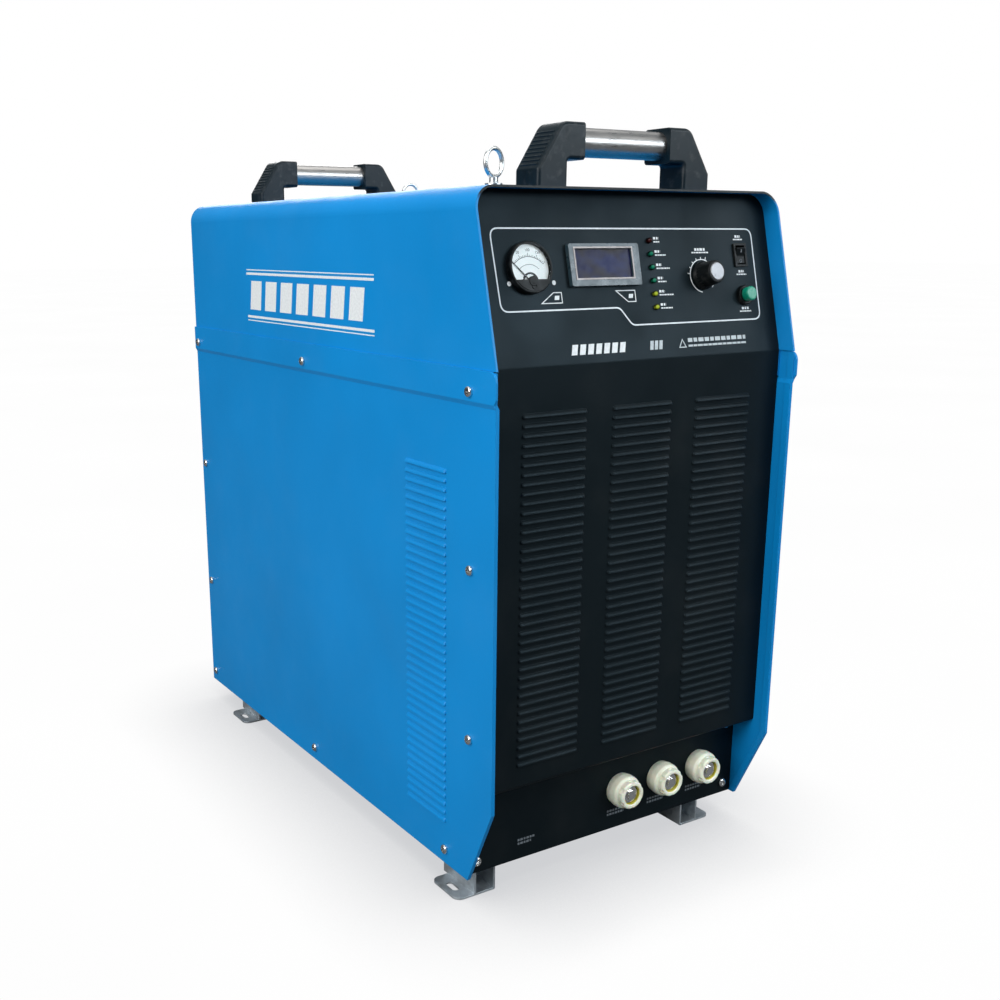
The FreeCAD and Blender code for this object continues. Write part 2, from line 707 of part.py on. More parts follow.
def mid_shelf():
    """Shelf between the power parts below and the control board above, with a cable opening."""
    width = "2 * (%s - size.plate - 1)" % INNER_HALF
    start = "(size.fascia_recess + 57)"
    sheet = box("shelf_sheet", width, "%s - size.flange - 20 - %s" % (REAR_FACE, start), "size.plate",
                "-(%s) / 2" % width, start, "%s + size.shelf_height + size.plate" % UNDERSIDE)
    slot = box("shelf_cable_slot", 60, 40, 20, 90, 480, "%s + size.shelf_height - 5" % UNDERSIDE)
    return keep(cut("mid_shelf", sheet, [slot]))


def foot_brackets():
    """Zinc-plated feet: a folded box channel with a slotted flange that points outwards."""
    brackets = []
    half = "size.foot_width / 2"
    for index, (across, along) in enumerate(FOOT_PLACES):
        side = -1 if across == "size.foot_left" else 1
        body = body_named("foot_%d" % index)
        front, back = "-size.foot_length / 2", "size.foot_length / 2"
        channel = rectangle(sketch_on(body, "XZ_Plane", back), "-" + half, "0",
                            half, "size.foot_height", 1.5)
        rectangle(channel, "-%s + size.plate" % half, "size.plate", "%s - size.plate" % half,
                  "size.foot_height - size.plate")
        pad(body, channel, "size.foot_length", backwards=True)
        root, tip = "%d * (%s - 2)" % (side, half), "%d * (%s + size.foot_flange)" % (side, half)
        flange = [(root, front), (tip, front, 8), (tip, back + " - 8", 8), (root, back + " - 8")]
        pad(body, outline(sketch_on(body, "XY_Plane"), flange), "size.plate")
        radius = "size.foot_slot_width / 2 - 0.01"
        middle = "%d * (%s + size.foot_flange / 2)" % (side, half)
        reach = "size.foot_slot_length / 2"
        half_slot = "size.foot_slot_width / 2"
        slot = rectangle(sketch_on(body, "XY_Plane", "-1"), "%s - %s" % (middle, half_slot), "-4 - " + reach,
                         "%s + %s" % (middle, half_slot), "-4 + " + reach, radius)
        pocket(body, slot, 10, backwards=True)
        holes = sketch_on(body, "XY_Plane", "size.foot_height + 1")
        for step in (-FOOT_BOLT_PITCH / 2, FOOT_BOLT_PITCH / 2):
            circle(holes, "0", str(step), "size.screw_hole")
        pocket(body, holes, 5)
        brackets.append(place(body, across, along, "0"))
    return keep(group("foot_brackets", brackets))


def pan_head_screw(name, x, y, z, along, shank=12):
    """A cross-recess screw; its head's seat is at the given point and its shank runs along."""
    head, height, stem = "size.screw_head / 2", "size.screw_head_height", "size.screw_shank / 2"
    solid = turned(name + "_solid", [("0", "-%s" % shank), (stem, "-%s" % shank), (stem, "0"), (head, "0"),
                                     (head, height, 2), ("0", height)])
    arms = [box("%s_recess_%d" % (name, index), long, wide, 2, -long / 2, -wide / 2, height + " - 1.4")
            for index, (long, wide) in enumerate(((4.8, 1), (1, 4.8)))]
    return place(cut(name, solid, arms), x, y, z, Rotation(Z_AXIS, along * -1))


def side_screws():
    """Twenty pan-head screws, ten on each side."""
    screws = []
    for hand, side in (("left", -1), ("right", 1)):
        for index, (y, height) in enumerate(SCREW_PLACES):
            proud = "size.plate + 0.05" if height == "size.screw_top" else "0"
            seat = "%d * (%s + %s)" % (side, HALF_WIDTH, proud)
            screws.append(pan_head_screw("side_screw_%s_%d" % (hand, index), seat, y,
                                         "%s + %s" % (UNDERSIDE, height), X_AXIS * -side))
    return keep(group("side_screws", screws))


def panel_screws():
    """Four screws that hold the terminal panel."""
    screws = [pan_head_screw("panel_screw_%d" % index, across, "size.terminal_recess",
                             "%s + %s" % (UNDERSIDE, height), Y_AXIS, shank=10)
              for index, (across, height) in enumerate(PANEL_SCREW_PLACES)]
    return keep(group("terminal_panel_screws", screws))


def foot_bolts():
    """Hexagon bolts up through the feet, with nuts inside the base pan."""
    pieces = []
    for index, (x, y) in enumerate(foot_bolt_places()):
        under = "(size.foot_height - size.plate)"
        head = hexagon("foot_bolt_head_%d" % index, 8, 3.5, x, y, under + " - 3.5")
        stem = rod("foot_bolt_stem_%d" % index, 5, 14, x, y, under + " - 1")
        pieces.append(union("foot_bolt_%d" % index, [head, stem]))
        pieces.append(nut("foot_bolt_nut_%d" % index, 8, 5.06, 4, x, y, UNDERSIDE + " + size.plate"))
    return keep(group("foot_bolts_and_nuts", pieces))


# --------------------------------------------------------------------------------------------
# Carrying handles and lifting eyes
# --------------------------------------------------------------------------------------------
HANDLE_ROWS = (FRONT_HANDLE_Y, REAR_HANDLE_Y)


def handle_bolt_places():
    return [("%d * size.handle_bolt" % side, along) for along in HANDLE_ROWS for side in (-1, 1)]


def eye_places():
    """Two lifting eyes on a diagonal: front left and rear right."""
    return [("size.front_eye", FRONT_HANDLE_Y), ("size.rear_eye", REAR_HANDLE_Y)]


def handle_end(name, side, along):
    """Moulded end of a handle: a leg with a sloping, ribbed outer side and a sleeve for the grip."""
    outer = "size.handle_length / 2"
    sleeve_top = "size.handle_height"
    sleeve_low = "(size.handle_height - size.grip_diameter - 6)"
    foot, slope = 15, 25
    corners = [("%s - size.handle_leg" % outer, "0"), (outer, "0"), (outer, foot, 3),
               ("%s - %d" % (outer, slope), sleeve_top, 12),
               ("%s - size.handle_sleeve" % outer, sleeve_top),
               ("%s - size.handle_sleeve" % outer, sleeve_low),
               ("%s - size.handle_leg" % outer, sleeve_low, 3)]
    corners = [("%d * (%s)" % (side, corner[0]),) + corner[1:] for corner in corners]
    body = extruded(name + "_block", "XZ_Plane", corners, "size.handle_depth", both=True)
    lengthwise = lambda edge: edge.BoundBox.YLength < 0.01
    low_edge = lambda edge: edge.BoundBox.ZMax < 0.01
    sleeve_end = number("size.handle_length / 2 - size.handle_sleeve")
    end_edge = lambda edge: abs(edge.BoundBox.XMin) - sleeve_end < 0.01 and edge.BoundBox.XLength < 0.01
    soften(body, 3.2, lambda edge: lengthwise(edge) and not low_edge(edge) and not end_edge(edge))
    ribs = []
    for step in range(9):
        share = (step + 1) / 11.5
        x = "%d * (%s - %s)" % (side, outer, slope * share + 0.2)
        z = "%s + (size.handle_height - %s) * %s" % (foot, foot, share)
        ribs.append(rod("%s_rib_%d" % (name, step), 1.9, "size.handle_depth - 9", x,
                        "-(size.handle_depth - 9) / 2", z, Y_AXIS))
    axis_z = "size.handle_height - 3 - size.grip_diameter / 2"
    socket_x = "%d * (%s - size.handle_sleeve - 1)" % (side, outer)
    socket = rod(name + "_socket", "size.grip_diameter + 0.1", 18, socket_x, "0", axis_z, X_AXIS * side)
    bolt = rod(name + "_bolt_hole", 6.1, 24, "%d * size.handle_bolt" % side, "0", "-1")
    shaped = cut(name, union(name + "_ribbed", [body] + ribs), [socket, bolt])
    return place(shaped, "0", along, ROOF_Z)


def handle_ends():
    return keep(group("handle_ends", [handle_end("handle_end_%d_%s" % (row, name), side, along)
                                      for row, along in enumerate(HANDLE_ROWS)
                                      for name, side in (("left", -1), ("right", 1))]))


def handle_grips():
    """Brushed steel tubes between the moulded ends."""
    half = "(size.handle_length / 2 - size.handle_sleeve + 15)"
    height = "%s + size.handle_height - 3 - size.grip_diameter / 2" % ROOF_Z
    tubes = [ring("handle_tube_%d" % row, "size.grip_diameter", "size.grip_diameter - 3", "2 * " + half,
                  "-" + half, along, height, X_AXIS) for row, along in enumerate(HANDLE_ROWS)]
    return keep(group("handle_grip_tubes", tubes))


def handle_bolts():
    """Hexagon bolts from inside the hood up into the handle ends."""
    bolts = []
    for index, (x, y) in enumerate(handle_bolt_places()):
        seat = "(%s - size.plate)" % ROOF_Z
        head = hexagon("handle_bolt_head_%d" % index, 10, 4, x, y, seat + " - 4")
        stem = rod("handle_bolt_stem_%d" % index, 6, 24, x, y, seat + " - 1")
        bolts.append(union("handle_bolt_%d" % index, [head, stem]))
    return keep(group("handle_bolts", bolts))


def lifting_eyes():
    """Two eye bolts through the roof, each with its nut inside as a separate solid."""
    pieces = []
    front_turn = 18    # degrees that the front eye is screwed round from facing forward
    for index, ((x, y), turn) in enumerate(zip(eye_places(), (front_turn, 0))):
        radius = "(size.eye_inner / 2 + size.eye_wire / 2)"
        collar = rod("eye_collar_%d" % index, 15, 2.5, x, y, ROOF_Z)
        neck = rod("eye_neck_%d" % index, 7.5, "7.5", x, y, ROOF_Z)
        stem = rod("eye_stem_%d" % index, 8, 16, x, y, ROOF_Z + " - 15")
        loop = doc.addObject("Part::Torus", "eye_loop_%d" % index)
        bind(loop, {"Radius1": radius, "Radius2": "size.eye_wire / 2"})
        place(loop, x, y, "%s + 6 + %s + size.eye_wire / 2" % (ROOF_Z, radius),
              Rotation(Z_AXIS, turn) * Rotation(X_AXIS, 90))
        pieces.append(union("eye_bolt_%d" % index, [collar, neck, stem, loop]))
        pieces.append(nut("eye_nut_%d" % index, 13, 8.06, 6, x, y, ROOF_Z + " - size.plate - 6"))
    return keep(group("lifting_eyes_and_nuts", pieces))


# --------------------------------------------------------------------------------------------
# Controls on the leaning face; each is drawn about its own centre, +z out of the face
# --------------------------------------------------------------------------------------------
ROCKER_WIDTH, ROCKER_HEIGHT, ROCKER_SWING = 13.2, 19.2, 12
METER_PIVOT = -12
LAMP_COUNT = 6


def lamp_heights():
    """Heights of the indicator lamps, lowest first."""
    return ["size.lamp_low + %d * size.lamp_pitch" % index for index in range(LAMP_COUNT)]


def meter_segment(name, radius, low, high, bottom, top):
    """Part of a disc between two heights across it, from one depth to another."""
    disc = rod(name + "_disc", radius + " * 2", "%s - %s" % (top, bottom), "0", "0", bottom)
    band = box(name + "_band", 60, "%s - (%s)" % (high, low), 20, -30, low, -10)
    return common(name, disc, band)


def ammeter():
    """Moving-coil meter: case, dial, needle, window and the screw that sets its zero."""
    rim, face = "size.meter_diameter", "(size.meter_diameter / 2 - 2)"
    hidden = "-10.5"
    flange = turned("meter_rim", [("0", "0"), (rim + " / 2", "0"), (rim + " / 2", "6", 1.2), (face, "6"),
                                  (face, "1.5"), ("0", "1.5")])
    barrel = rod("meter_barrel", rim + " - 6.6", 28, 0, 0, -28)
    cover = meter_segment("meter_cover", face, "-30", hidden, "4", "6.5")
    hub = rod("meter_hub", 9, 3, 0, METER_PIVOT, 4)
    zero_hole = rod("meter_zero_hole", 5.1, 10, 0, -16.2, 3)
    pivot_hole = rod("meter_pivot_hole", 1.1, 3, 0, METER_PIVOT, 0.5)
    case = cut("ammeter_case", union("meter_shell", [flange, barrel, cover, hub]), [zero_hole, pivot_hole])

    dial_hole = rod("dial_pivot_hole", 1.1, 3, 0, METER_PIVOT, 0.5)
    dial = cut("ammeter_dial", rod("dial_disc", face + " * 2 - 0.2", 0.6, 0, 0, 1.5), [dial_hole])

    glass = meter_segment("meter_glass", "(%s - 0.05)" % face, hidden + " + 0.1", "30", "4.4", "5.4")
    window = cut("ammeter_window", glass, [rod("glass_notch", 9.1, 10, 0, METER_PIVOT, 0)])

    needle = body_named("ammeter_needle")
    pointer = [("-0.55", "0"), ("0.55", "0"), ("0.2", "26"), ("-0.2", "26")]
    pad(needle, outline(sketch_on(needle, "XY_Plane", "2.6"), pointer), "0.5")
    pad(needle, circle(sketch_on(needle, "XY_Plane", "2.4"), "0", "0", "4"), "1.2")
    pad(needle, circle(sketch_on(needle, "XY_Plane", "0.8"), "0", "0", "1"), "2")

    zero = body_named("ammeter_zero_screw")
    pad(zero, circle(sketch_on(zero, "XY_Plane", "4.2"), "0", "0", "5"), "2.9")
    slot = rectangle(sketch_on(zero, "XY_Plane", "7.1"), "-3", "-0.5", "3", "0.5")
    pocket(zero, slot, "1")

    for piece in (case, dial, window):
        keep(on_fascia(piece, "size.meter_across", "size.meter_up"))
    rested = Rotation(X_AXIS, 90 - number(LEAN)) * Rotation(Z_AXIS, 45)
    on_fascia(needle, "size.meter_across", "size.meter_up + %s" % METER_PIVOT)
    needle.Placement = Placement(needle.Placement.Base, rested)
    keep(needle)
    keep(on_fascia(zero, "size.meter_across", "size.meter_up - 16.2"))


def digital_display():
    """Panel meter: a moulded case with a sunk window."""
    width, height = "size.display_width", "size.display_height"
    case = body_named("display_case")
    pad(case, rectangle(sketch_on(case, "XY_Plane"), "-%s / 2" % width, "-%s / 2" % height, width + " / 2",
                        height + " / 2", "2"), "4.5")
    body = rectangle(sketch_on(case, "XY_Plane", "0.5"), "-%s / 2 + 2" % width, "-%s / 2 + 1.5" % height,
                     width + " / 2 - 2", height + " / 2 - 1.5")
    pad(case, body, "42", backwards=True)
    left, right = "-(%s / 2 - 6.5)" % width, "(%s / 2 - 9)" % width
    low, high = "-(%s / 2 - 7)" % height, "(%s / 2 - 4.5)" % height
    opening = rectangle(sketch_on(case, "XY_Plane", "4.5"), left, low, right, high)
    pocket(case, opening, "3")
    window = body_named("display_window")
    glass = rectangle(sketch_on(window, "XY_Plane", "1.5"), left + " + 0.05", low + " + 0.05",
                      right + " - 0.05", high + " - 0.05")
    pad(window, glass, "1.2")
    for piece in (case, window):
        keep(on_fascia(piece, "size.display_across", "size.display_up"))


def indicator_lamps():
    """Domed lamps in a column: red above, green in the middle, yellow below."""
    heights = lamp_heights()
    colours = {"red_lamp": heights[5:], "green_lamps": heights[2:5], "yellow_lamps": heights[:2]}
    for name, places in colours.items():
        lamps = []
        for index, height in enumerate(places):
            stem = rod("%s_stem_%d" % (name, index), 5, 8, 0, 0, -6)
            dome = doc.addObject("Part::Sphere", "%s_dome_%d" % (name, index))
            dome.Radius = 2.5
            place(dome, "0", "0", "2")
            rim = rod("%s_rim_%d" % (name, index), 6, 1, 0, 0, -3.2)
            lamp = union("%s_%d" % (name, index), [stem, dome, rim])
            lamps.append(on_fascia(lamp, "size.lamp_across", height))
        keep(group(name, lamps))


def current_control():
    """Potentiometer behind the panel, and the shaft, fluted knob and metal cap that turn together."""
    pot_body = rod("pot_body", 24, 14, 0, 0, -16.5)
    bushing = rod("pot_bushing", 9, 9, 0, 0, -2.5)
    bore = rod("pot_bore", 6.1, 25, 0, 0, -15)
    housing = cut("pot_housing", union("pot_solid", [pot_body, bushing]), [bore])
    pot_nut = nut("pot_nut", 12, 9.06, 2.5, 0, 0, 0.1)
    potentiometer = group("potentiometer_and_nut", [housing, pot_nut])
    flat = box("shaft_flat", 6, 2, 7, -3, 2.4, 10)
    shaft = cut("control_shaft", rod("shaft_bar", 6, 30.5, 0, 0, -14), [flat])

    radius, height = "size.knob_diameter / 2", "size.knob_height"
    knob = turned("current_knob", [("8.5", "1"), (radius + " + 1", "1"), (radius + " + 1", "2.5", 0.6),
                                   (radius + " - 0.3", "4", 1), (radius + " - 1.6", height, 1.4),
                                   ("8.3", height), ("8.3", height + " - 1.5"), ("3.05", height + " - 1.5"),
                                   ("3.05", "8"), ("8.5", "8")])
    flute = circle(sketch_on(knob, "XY_Plane", "4"), "0", radius + " + 0.2", "1.8")
    groove = pocket(knob, flute, "30", backwards=True)
    ribs = knob.newObject("PartDesign::PolarPattern", "knob_flutes")
    ribs.Originals = [groove]
    ribs.Axis = (flute, ["N_Axis"])
    ribs.Angle = 360
    ribs.Occurrences = 22
    knob.Tip = ribs

    cap = turned("knob_cap", [("0", height + " - 1.5"), ("8.2", height + " - 1.5"),
                              ("8.2", height + " + 0.8", 0.8), ("0", height + " + 0.8")])
    for piece in (potentiometer, shaft, knob, cap):
        keep(on_fascia(piece, "size.knob_across", "size.knob_up"))


def rocker_switch():
    """Mains rocker: housing in the panel and a paddle that tips on two stub pins."""
    pivot = -2
    housing = body_named("rocker_housing")
    wide, tall = ROCKER_WIDTH / 2, ROCKER_HEIGHT / 2
    lip = 1.4
    pad(housing, rectangle(sketch_on(housing, "XY_Plane"), str(-wide - lip), str(-tall - lip),
                           str(wide + lip), str(tall + lip), "1"), "2")
    pad(housing, rectangle(sketch_on(housing, "XY_Plane", "1"), str(-wide), str(-tall),
                           str(wide), str(tall)), "17", backwards=True)
    well = rectangle(sketch_on(housing, "XY_Plane", "2"), "-5.8", "-9", "5.8", "9")
    pocket(housing, well, "14")
    pins = circle(sketch_on(housing, "YZ_Plane"), "0", str(pivot), "2.4")
    pocket(housing, pins, "12.4", both=True)

    paddle = body_named("rocker_paddle")
    section = [("-7.8", "1.5"), ("-7.8", "4.6", 1), ("0", "3.0", 8), ("7.8", "4.6", 1), ("7.8", "1.5"),
               ("2.5", "-3.5"), ("-2.5", "-3.5")]
    pad(paddle, outline(sketch_on(paddle, "YZ_Plane"), section), "11.2", both=True)
    pad(paddle, circle(sketch_on(paddle, "YZ_Plane"), "0", "0", "2.3"), "12.2", both=True)
    keep(on_fascia(housing, "size.switch_across", "size.rocker_up"))
    keep(on_fascia(paddle, "size.switch_across", "size.rocker_up", pivot, ROCKER_SWING))


def push_button():
    """Gas-test push button: a green cap that slides in a black housing."""
    housing = turned("button_housing", [("5", "-14"), ("7.9", "-14"), ("7.9", "0"), ("9.2", "0"),
                                        ("9.2", "4", 1), ("6.9", "4"), ("6.9", "1.2"), ("5", "1.2")])
    cap = turned("button_cap", [("0", "-7"), ("4.95", "-7"), ("4.95", "4.4"), ("6.7", "4.4"),
                                ("6.7", "11", 1.5), ("0", "11")])
    for piece in (housing, cap):
        keep(on_fascia(piece, "size.switch_across", "size.button_up"))


# --------------------------------------------------------------------------------------------
# Output terminals
# --------------------------------------------------------------------------------------------
HOSE = 8    # outside diameter of the gas hose; it pushes into the hollow tail of a stud


def terminal_places():
    return ["size.terminal_left + %d * size.terminal_pitch" % index for index in range(3)]


def output_terminals():
    """Three insulators through the terminal panel, each with a stud and two nuts."""
    face = "size.terminal_recess"
    radius, length = "size.terminal_diameter / 2", "size.terminal_length"
    insulators, studs, nuts = [], [], []
    for index, across in enumerate(terminal_places()):
        shell = turned("insulator_%d" % index, [
            ("5.1", "-8"), ("10.9", "-8"), ("10.9", "0"), (radius + " - 1", "0"), (radius, "6", 6),
            (radius + " - 0.5", "12.5", 3), (radius + " - 3.2", "14.5", 1), (radius + " - 3", length, 2),
            ("10", length, 1), ("10", "10"), ("5.1", "10")])
        scallop = circle(sketch_on(shell, "XY_Plane", length + " + 1"), "0", radius, "9")
        notch = pocket(shell, scallop, 6.5)
        lobes = shell.newObject("PartDesign::PolarPattern", "insulator_lobes_%d" % index)
        lobes.Originals = [notch]
        lobes.Axis = (scallop, ["N_Axis"])
        lobes.Angle = 360
        lobes.Occurrences = 6
        shell.Tip = lobes
        insulators.append(on_front(shell, across, TERMINAL_Z, face))
        stem = rod("stud_stem_%d" % index, "size.stud_diameter", 54, 0, 0, -34)
        stud = cut("stud_%d" % index, stem, [rod("stud_tail_%d" % index, HOSE + 0.1, 7, 0, 0, -35)])
        studs.append(on_front(stud, across, TERMINAL_Z, face))
        for part, start in (("front", 10.1), ("rear", -16), ("clamp", -27.6)):
            nuts.append(on_front(nut("stud_nut_%s_%d" % (part, index), 16, 10.06, 7.5, 0, 0, start),
                                 across, TERMINAL_Z, face))
    keep(group("terminal_insulators", insulators))
    keep(group("terminal_studs", studs))
    keep(group("terminal_nuts", nuts))


def output_busbars():
    """Copper bars from the studs back to the reactor and transformer."""
    bars = []
    start = "(size.terminal_recess + 17)"
    for index, (across, length) in enumerate(zip(terminal_places(), (40, 58, 58))):
        plate = box("busbar_plate_%d" % index, 24, 3, 34, "%s - 12" % across, start, TERMINAL_Z + " - 22")
        arm = box("busbar_arm_%d" % index, 24, length, 3, "%s - 12" % across, start, TERMINAL_Z + " - 22")
        hole = rod("busbar_hole_%d" % index, 10.2, 20, across, start + " - 8", TERMINAL_Z, Y_AXIS)
        bars.append(cut("busbar_%d" % index, union("busbar_bent_%d" % index, [plate, arm]), [hole]))
    return keep(group("output_busbars", bars))


# --------------------------------------------------------------------------------------------
# Rear fittings
# --------------------------------------------------------------------------------------------
BREAKER_WIDTH, BREAKER_NOSE, BREAKER_ACROSS, BREAKER_SWING = 54, 46, 100, 25
BREAKER_Z = "(%s + 535)" % UNDERSIDE
FITTING_ACROSS = "(size.terminal_left + 2 * size.terminal_pitch)"
GLAND_Z = "(%s + 395)" % UNDERSIDE
GAS_Z = "(%s + 230)" % UNDERSIDE
EARTH_Z = "(%s + 60)" % UNDERSIDE
REAR_INSIDE = "(%s - size.plate)" % REAR_FACE
BLADE_COUNT = 7


def fan_heights():
    return ["%s + size.fan_low + %d * size.fan_pitch" % (UNDERSIDE, index) for index in range(2)]


def fan_screw_places():
    """Corner screws of both fans."""
    reach = "(size.fan_size / 2 - 8)"
    return [("size.fan_across + %d * %s" % (side, reach), "%s + %d * %s" % (z, rise, reach))
            for z in fan_heights() for side in (-1, 1) for rise in (-1, 1)]


def fan_frame(name, z):
    """Square frame with a round duct, three struts and the pin that the rotor runs on."""
    depth, start = "size.fan_depth", "-size.fan_depth"
    half = "size.fan_size / 2"
    body = body_named(name)
    shape = rectangle(sketch_on(body, "XY_Plane", start), "-" + half, "-" + half, half, half, "6")
    circle(shape, "0", "0", "size.fan_size - 8")
    pad(body, shape, depth)
    hub = circle(sketch_on(body, "XY_Plane", start), "0", "0", "44")
    pad(body, hub, "5")
    for turn in (0, 1, 2):
        angle = "%d deg" % (90 + 120 * turn)
        along = ("cos(%s)" % angle, "sin(%s)" % angle)
        across = ("sin(%s) * 3" % angle, "cos(%s) * -3" % angle)
        corners = ((10, "+"), ("(size.fan_size / 2 - 2)", "+"), ("(size.fan_size / 2 - 2)", "-"), (10, "-"))
        strut = [tuple("%s * %s %s %s" % (reach, along[axis], sign, across[axis]) for axis in (0, 1))
                 for reach, sign in corners]
        pad(body, outline(sketch_on(body, "XY_Plane", start), strut), "5")
    pad(body, circle(sketch_on(body, "XY_Plane", start), "0", "0", "6"), "44")
    holes = sketch_on(body, "XY_Plane", "1")
    reach = "(size.fan_size / 2 - 8)"
    for side in (-1, 1):
        for rise in (-1, 1):
            circle(holes, "%d * %s" % (side, reach), "%d * %s" % (rise, reach), "4.5")
    pocket(body, holes, "size.fan_depth + 2")
    return on_rear(body, "size.fan_across", z, REAR_INSIDE)


def fan_rotor(name, z):
    """Hub with pitched blades that runs on the frame's pin."""
    body = body_named(name + "_hub")
    hub = circle(sketch_on(body, "XY_Plane", "-42"), "0", "0", "52")
    pad(body, hub, "36")
    bore = circle(sketch_on(body, "XY_Plane", "-5"), "0", "0", "6.1")
    pocket(body, bore, "40")
    blades = []
    for index in range(BLADE_COUNT):
        turn = 360 / BLADE_COUNT * index
        blade = box("%s_blade_%d" % (name, index), "size.fan_size / 2 - 31", 40, 2, 0, 0, 0)
        pitched = Rotation(Z_AXIS, turn) * Rotation(X_AXIS, 38)
        root = Rotation(Z_AXIS, turn).multVec(Vector(23, 0, -24)) - pitched.multVec(Vector(0, 20, 1))
        blades.append(place(blade, root.x, root.y, root.z, pitched))
    return keep(on_rear(union(name, [body] + blades), "size.fan_across", z, REAR_INSIDE))


def fan_guard(name, z):
    """Round wire guard: rings joined by four spokes that end in eyes under the fan screws."""
    wires = []
    for index in range(5):
        loop = doc.addObject("Part::Torus", "%s_ring_%d" % (name, index))
        bind(loop, {"Radius1": "(size.fan_size / 2 - 4) * %s" % (0.22 + 0.19 * index), "Radius2": 1.1})
        place(loop, "0", "0", "3.2")
        wires.append(loop)
    reach = "(size.fan_size / 2 - 8) * sqrt(2)"
    for index in range(4):
        direction = Rotation(Z_AXIS, 45 + 90 * index).multVec(X_AXIS)
        wires.append(rod("%s_spoke_%d" % (name, index), 2.2, reach + " - 11.5",
                         direction.x * 8, direction.y * 8, "1.2", direction))
        corner = ["%d * (size.fan_size / 2 - 8)" % math.copysign(1, part)
                  for part in (direction.x, direction.y)]
        wires.append(ring("%s_eye_%d" % (name, index), 9, 4.6, 2.2, corner[0], corner[1], "0.1"))
    return on_rear(union(name, wires), "size.fan_across", z, REAR_FACE)


def cooling_fans():
    """Two fans behind the rear panel that draw air over the heat sinks, with guards outside."""
    names = ("lower", "upper")
    keep(group("fan_frames", [fan_frame("fan_frame_" + name, z) for name, z in zip(names, fan_heights())]))
    for name, z in zip(names, fan_heights()):
        fan_rotor(name + "_fan_rotor", z)
    keep(group("fan_guards", [fan_guard("fan_guard_" + name, z) for name, z in zip(names, fan_heights())]))
    screws = []
    for index, (x, z) in enumerate(fan_screw_places()):
        head = rod("fan_screw_head_%d" % index, 8, 2.5, x, REAR_FACE + " + 2.4", z, Y_AXIS)
        stem = rod("fan_screw_stem_%d" % index, 4, 20, x, REAR_FACE + " + 3", z, Y_AXIS * -1)
        screws.append(union("fan_screw_%d" % index, [head, stem]))
    keep(group("fan_screws", screws))


def circuit_breaker():
    """Three-pole breaker: a stepped body whose nose shows through the rear panel, and one lever."""
    wide, nose = BREAKER_WIDTH / 2, BREAKER_NOSE / 2
    pivot = -3
    body = body_named("breaker_body")
    pad(body, rectangle(sketch_on(body, "XY_Plane", "-62"), str(-wide), "-42", str(wide), "42", "1"), "58")
    pad(body, rectangle(sketch_on(body, "XY_Plane", "-5"), str(-wide), str(-nose),
                        str(wide), str(nose), "1"), "11")
    pocket(body, rectangle(sketch_on(body, "XY_Plane", "6"), "-20", "-15", "20", "15"), "18")
    pocket(body, circle(sketch_on(body, "YZ_Plane"), "0", str(pivot), "4.1"), "44", both=True)
    lever = body_named("breaker_lever")
    section = [("-5", "-4", 2), ("5", "-4", 2), ("4.4", "9"), ("2.5", "20", 1.5), ("-2.5", "20", 1.5),
               ("-4.4", "9")]
    pad(lever, outline(sketch_on(lever, "YZ_Plane"), section), "36", both=True)
    pad(lever, circle(sketch_on(lever, "YZ_Plane"), "0", "0", "4"), "43", both=True)
    keep(on_rear(body, BREAKER_ACROSS, BREAKER_Z, REAR_FACE))
    on_rear(lever, BREAKER_ACROSS, BREAKER_Z, "%s + %d" % (REAR_FACE, pivot))
    lowered = lever.Placement.Rotation * Rotation(X_AXIS, BREAKER_SWING)
    lever.Placement = Placement(lever.Placement.Base, lowered)
    keep(lever)


def cable_gland():
    """Screwed gland for the supply cable, with its locknut inside and a rubber seal."""
    gland = turned("gland_body", [("8", "-14"), ("12.5", "-14"), ("12.5", "0"), ("17", "0"), ("17", "7"),
                                  ("14.5", "8"), ("14.5", "17", 4), ("8", "20")])
    locknut = nut("gland_locknut", 33, 25.06, 6, 0, 0, "-size.plate - 6.1")
    keep(group("cable_gland", [on_rear(piece, FITTING_ACROSS, GLAND_Z, REAR_FACE)
                               for piece in (gland, locknut)]))


def gas_line():
    """Inlet barb, solenoid valve and the hose that runs forward to the right-hand terminal."""
    barb = turned("gas_inlet_fitting", [("2.5", "-18"), ("6.5", "-18"), ("6.5", "0"), ("10", "0"),
                                        ("10", "6"), ("6", "6"), ("6", "10"), ("5", "14"), ("6", "14"),
                                        ("5", "20"), ("6", "20"), ("5", "size.barb_reach"),
                                        ("2.5", "size.barb_reach")])
    keep(on_rear(barb, FITTING_ACROSS, GAS_Z, REAR_FACE))

    block = box("valve_block", 34, 36, 26, -17, -18, -46)
    coil = box("valve_coil", 28, 30, 34, -14, 18, -50)
    valve = cut("solenoid_valve", union("valve_solid", [block, coil]),
                [rod("valve_socket", 13.1, 3, 0, 0, -22), rod("valve_outlet", HOSE + 0.1, 10, 0, 0, -50)])
    keep(on_rear(valve, FITTING_ACROSS, GAS_Z, REAR_FACE))

    hose = body_named("gas_hose")
    start = "(%s - 42)" % REAR_FACE
    path = sketch_on(hose, "YZ_Plane")
    level = "%s + 330" % UNDERSIDE
    drop = "(size.terminal_recess + 56)"
    outline(path, [(start, GAS_Z), (start + " - 30", GAS_Z, 14), (start + " - 30", level, 14),
                   (drop, level, 25), (drop, TERMINAL_Z, 14), ("size.terminal_recess + 30", TERMINAL_Z)],
            closed=False)
    section = circle(sketch_on(hose, "XZ_Plane", "-" + start), "0", GAS_Z, str(HOSE))
    pipe = hose.newObject("PartDesign::AdditivePipe", "gas_hose_pipe")
    pipe.Profile = section
    pipe.Spine = path
    keep(place(hose, FITTING_ACROSS, "0", "0"))


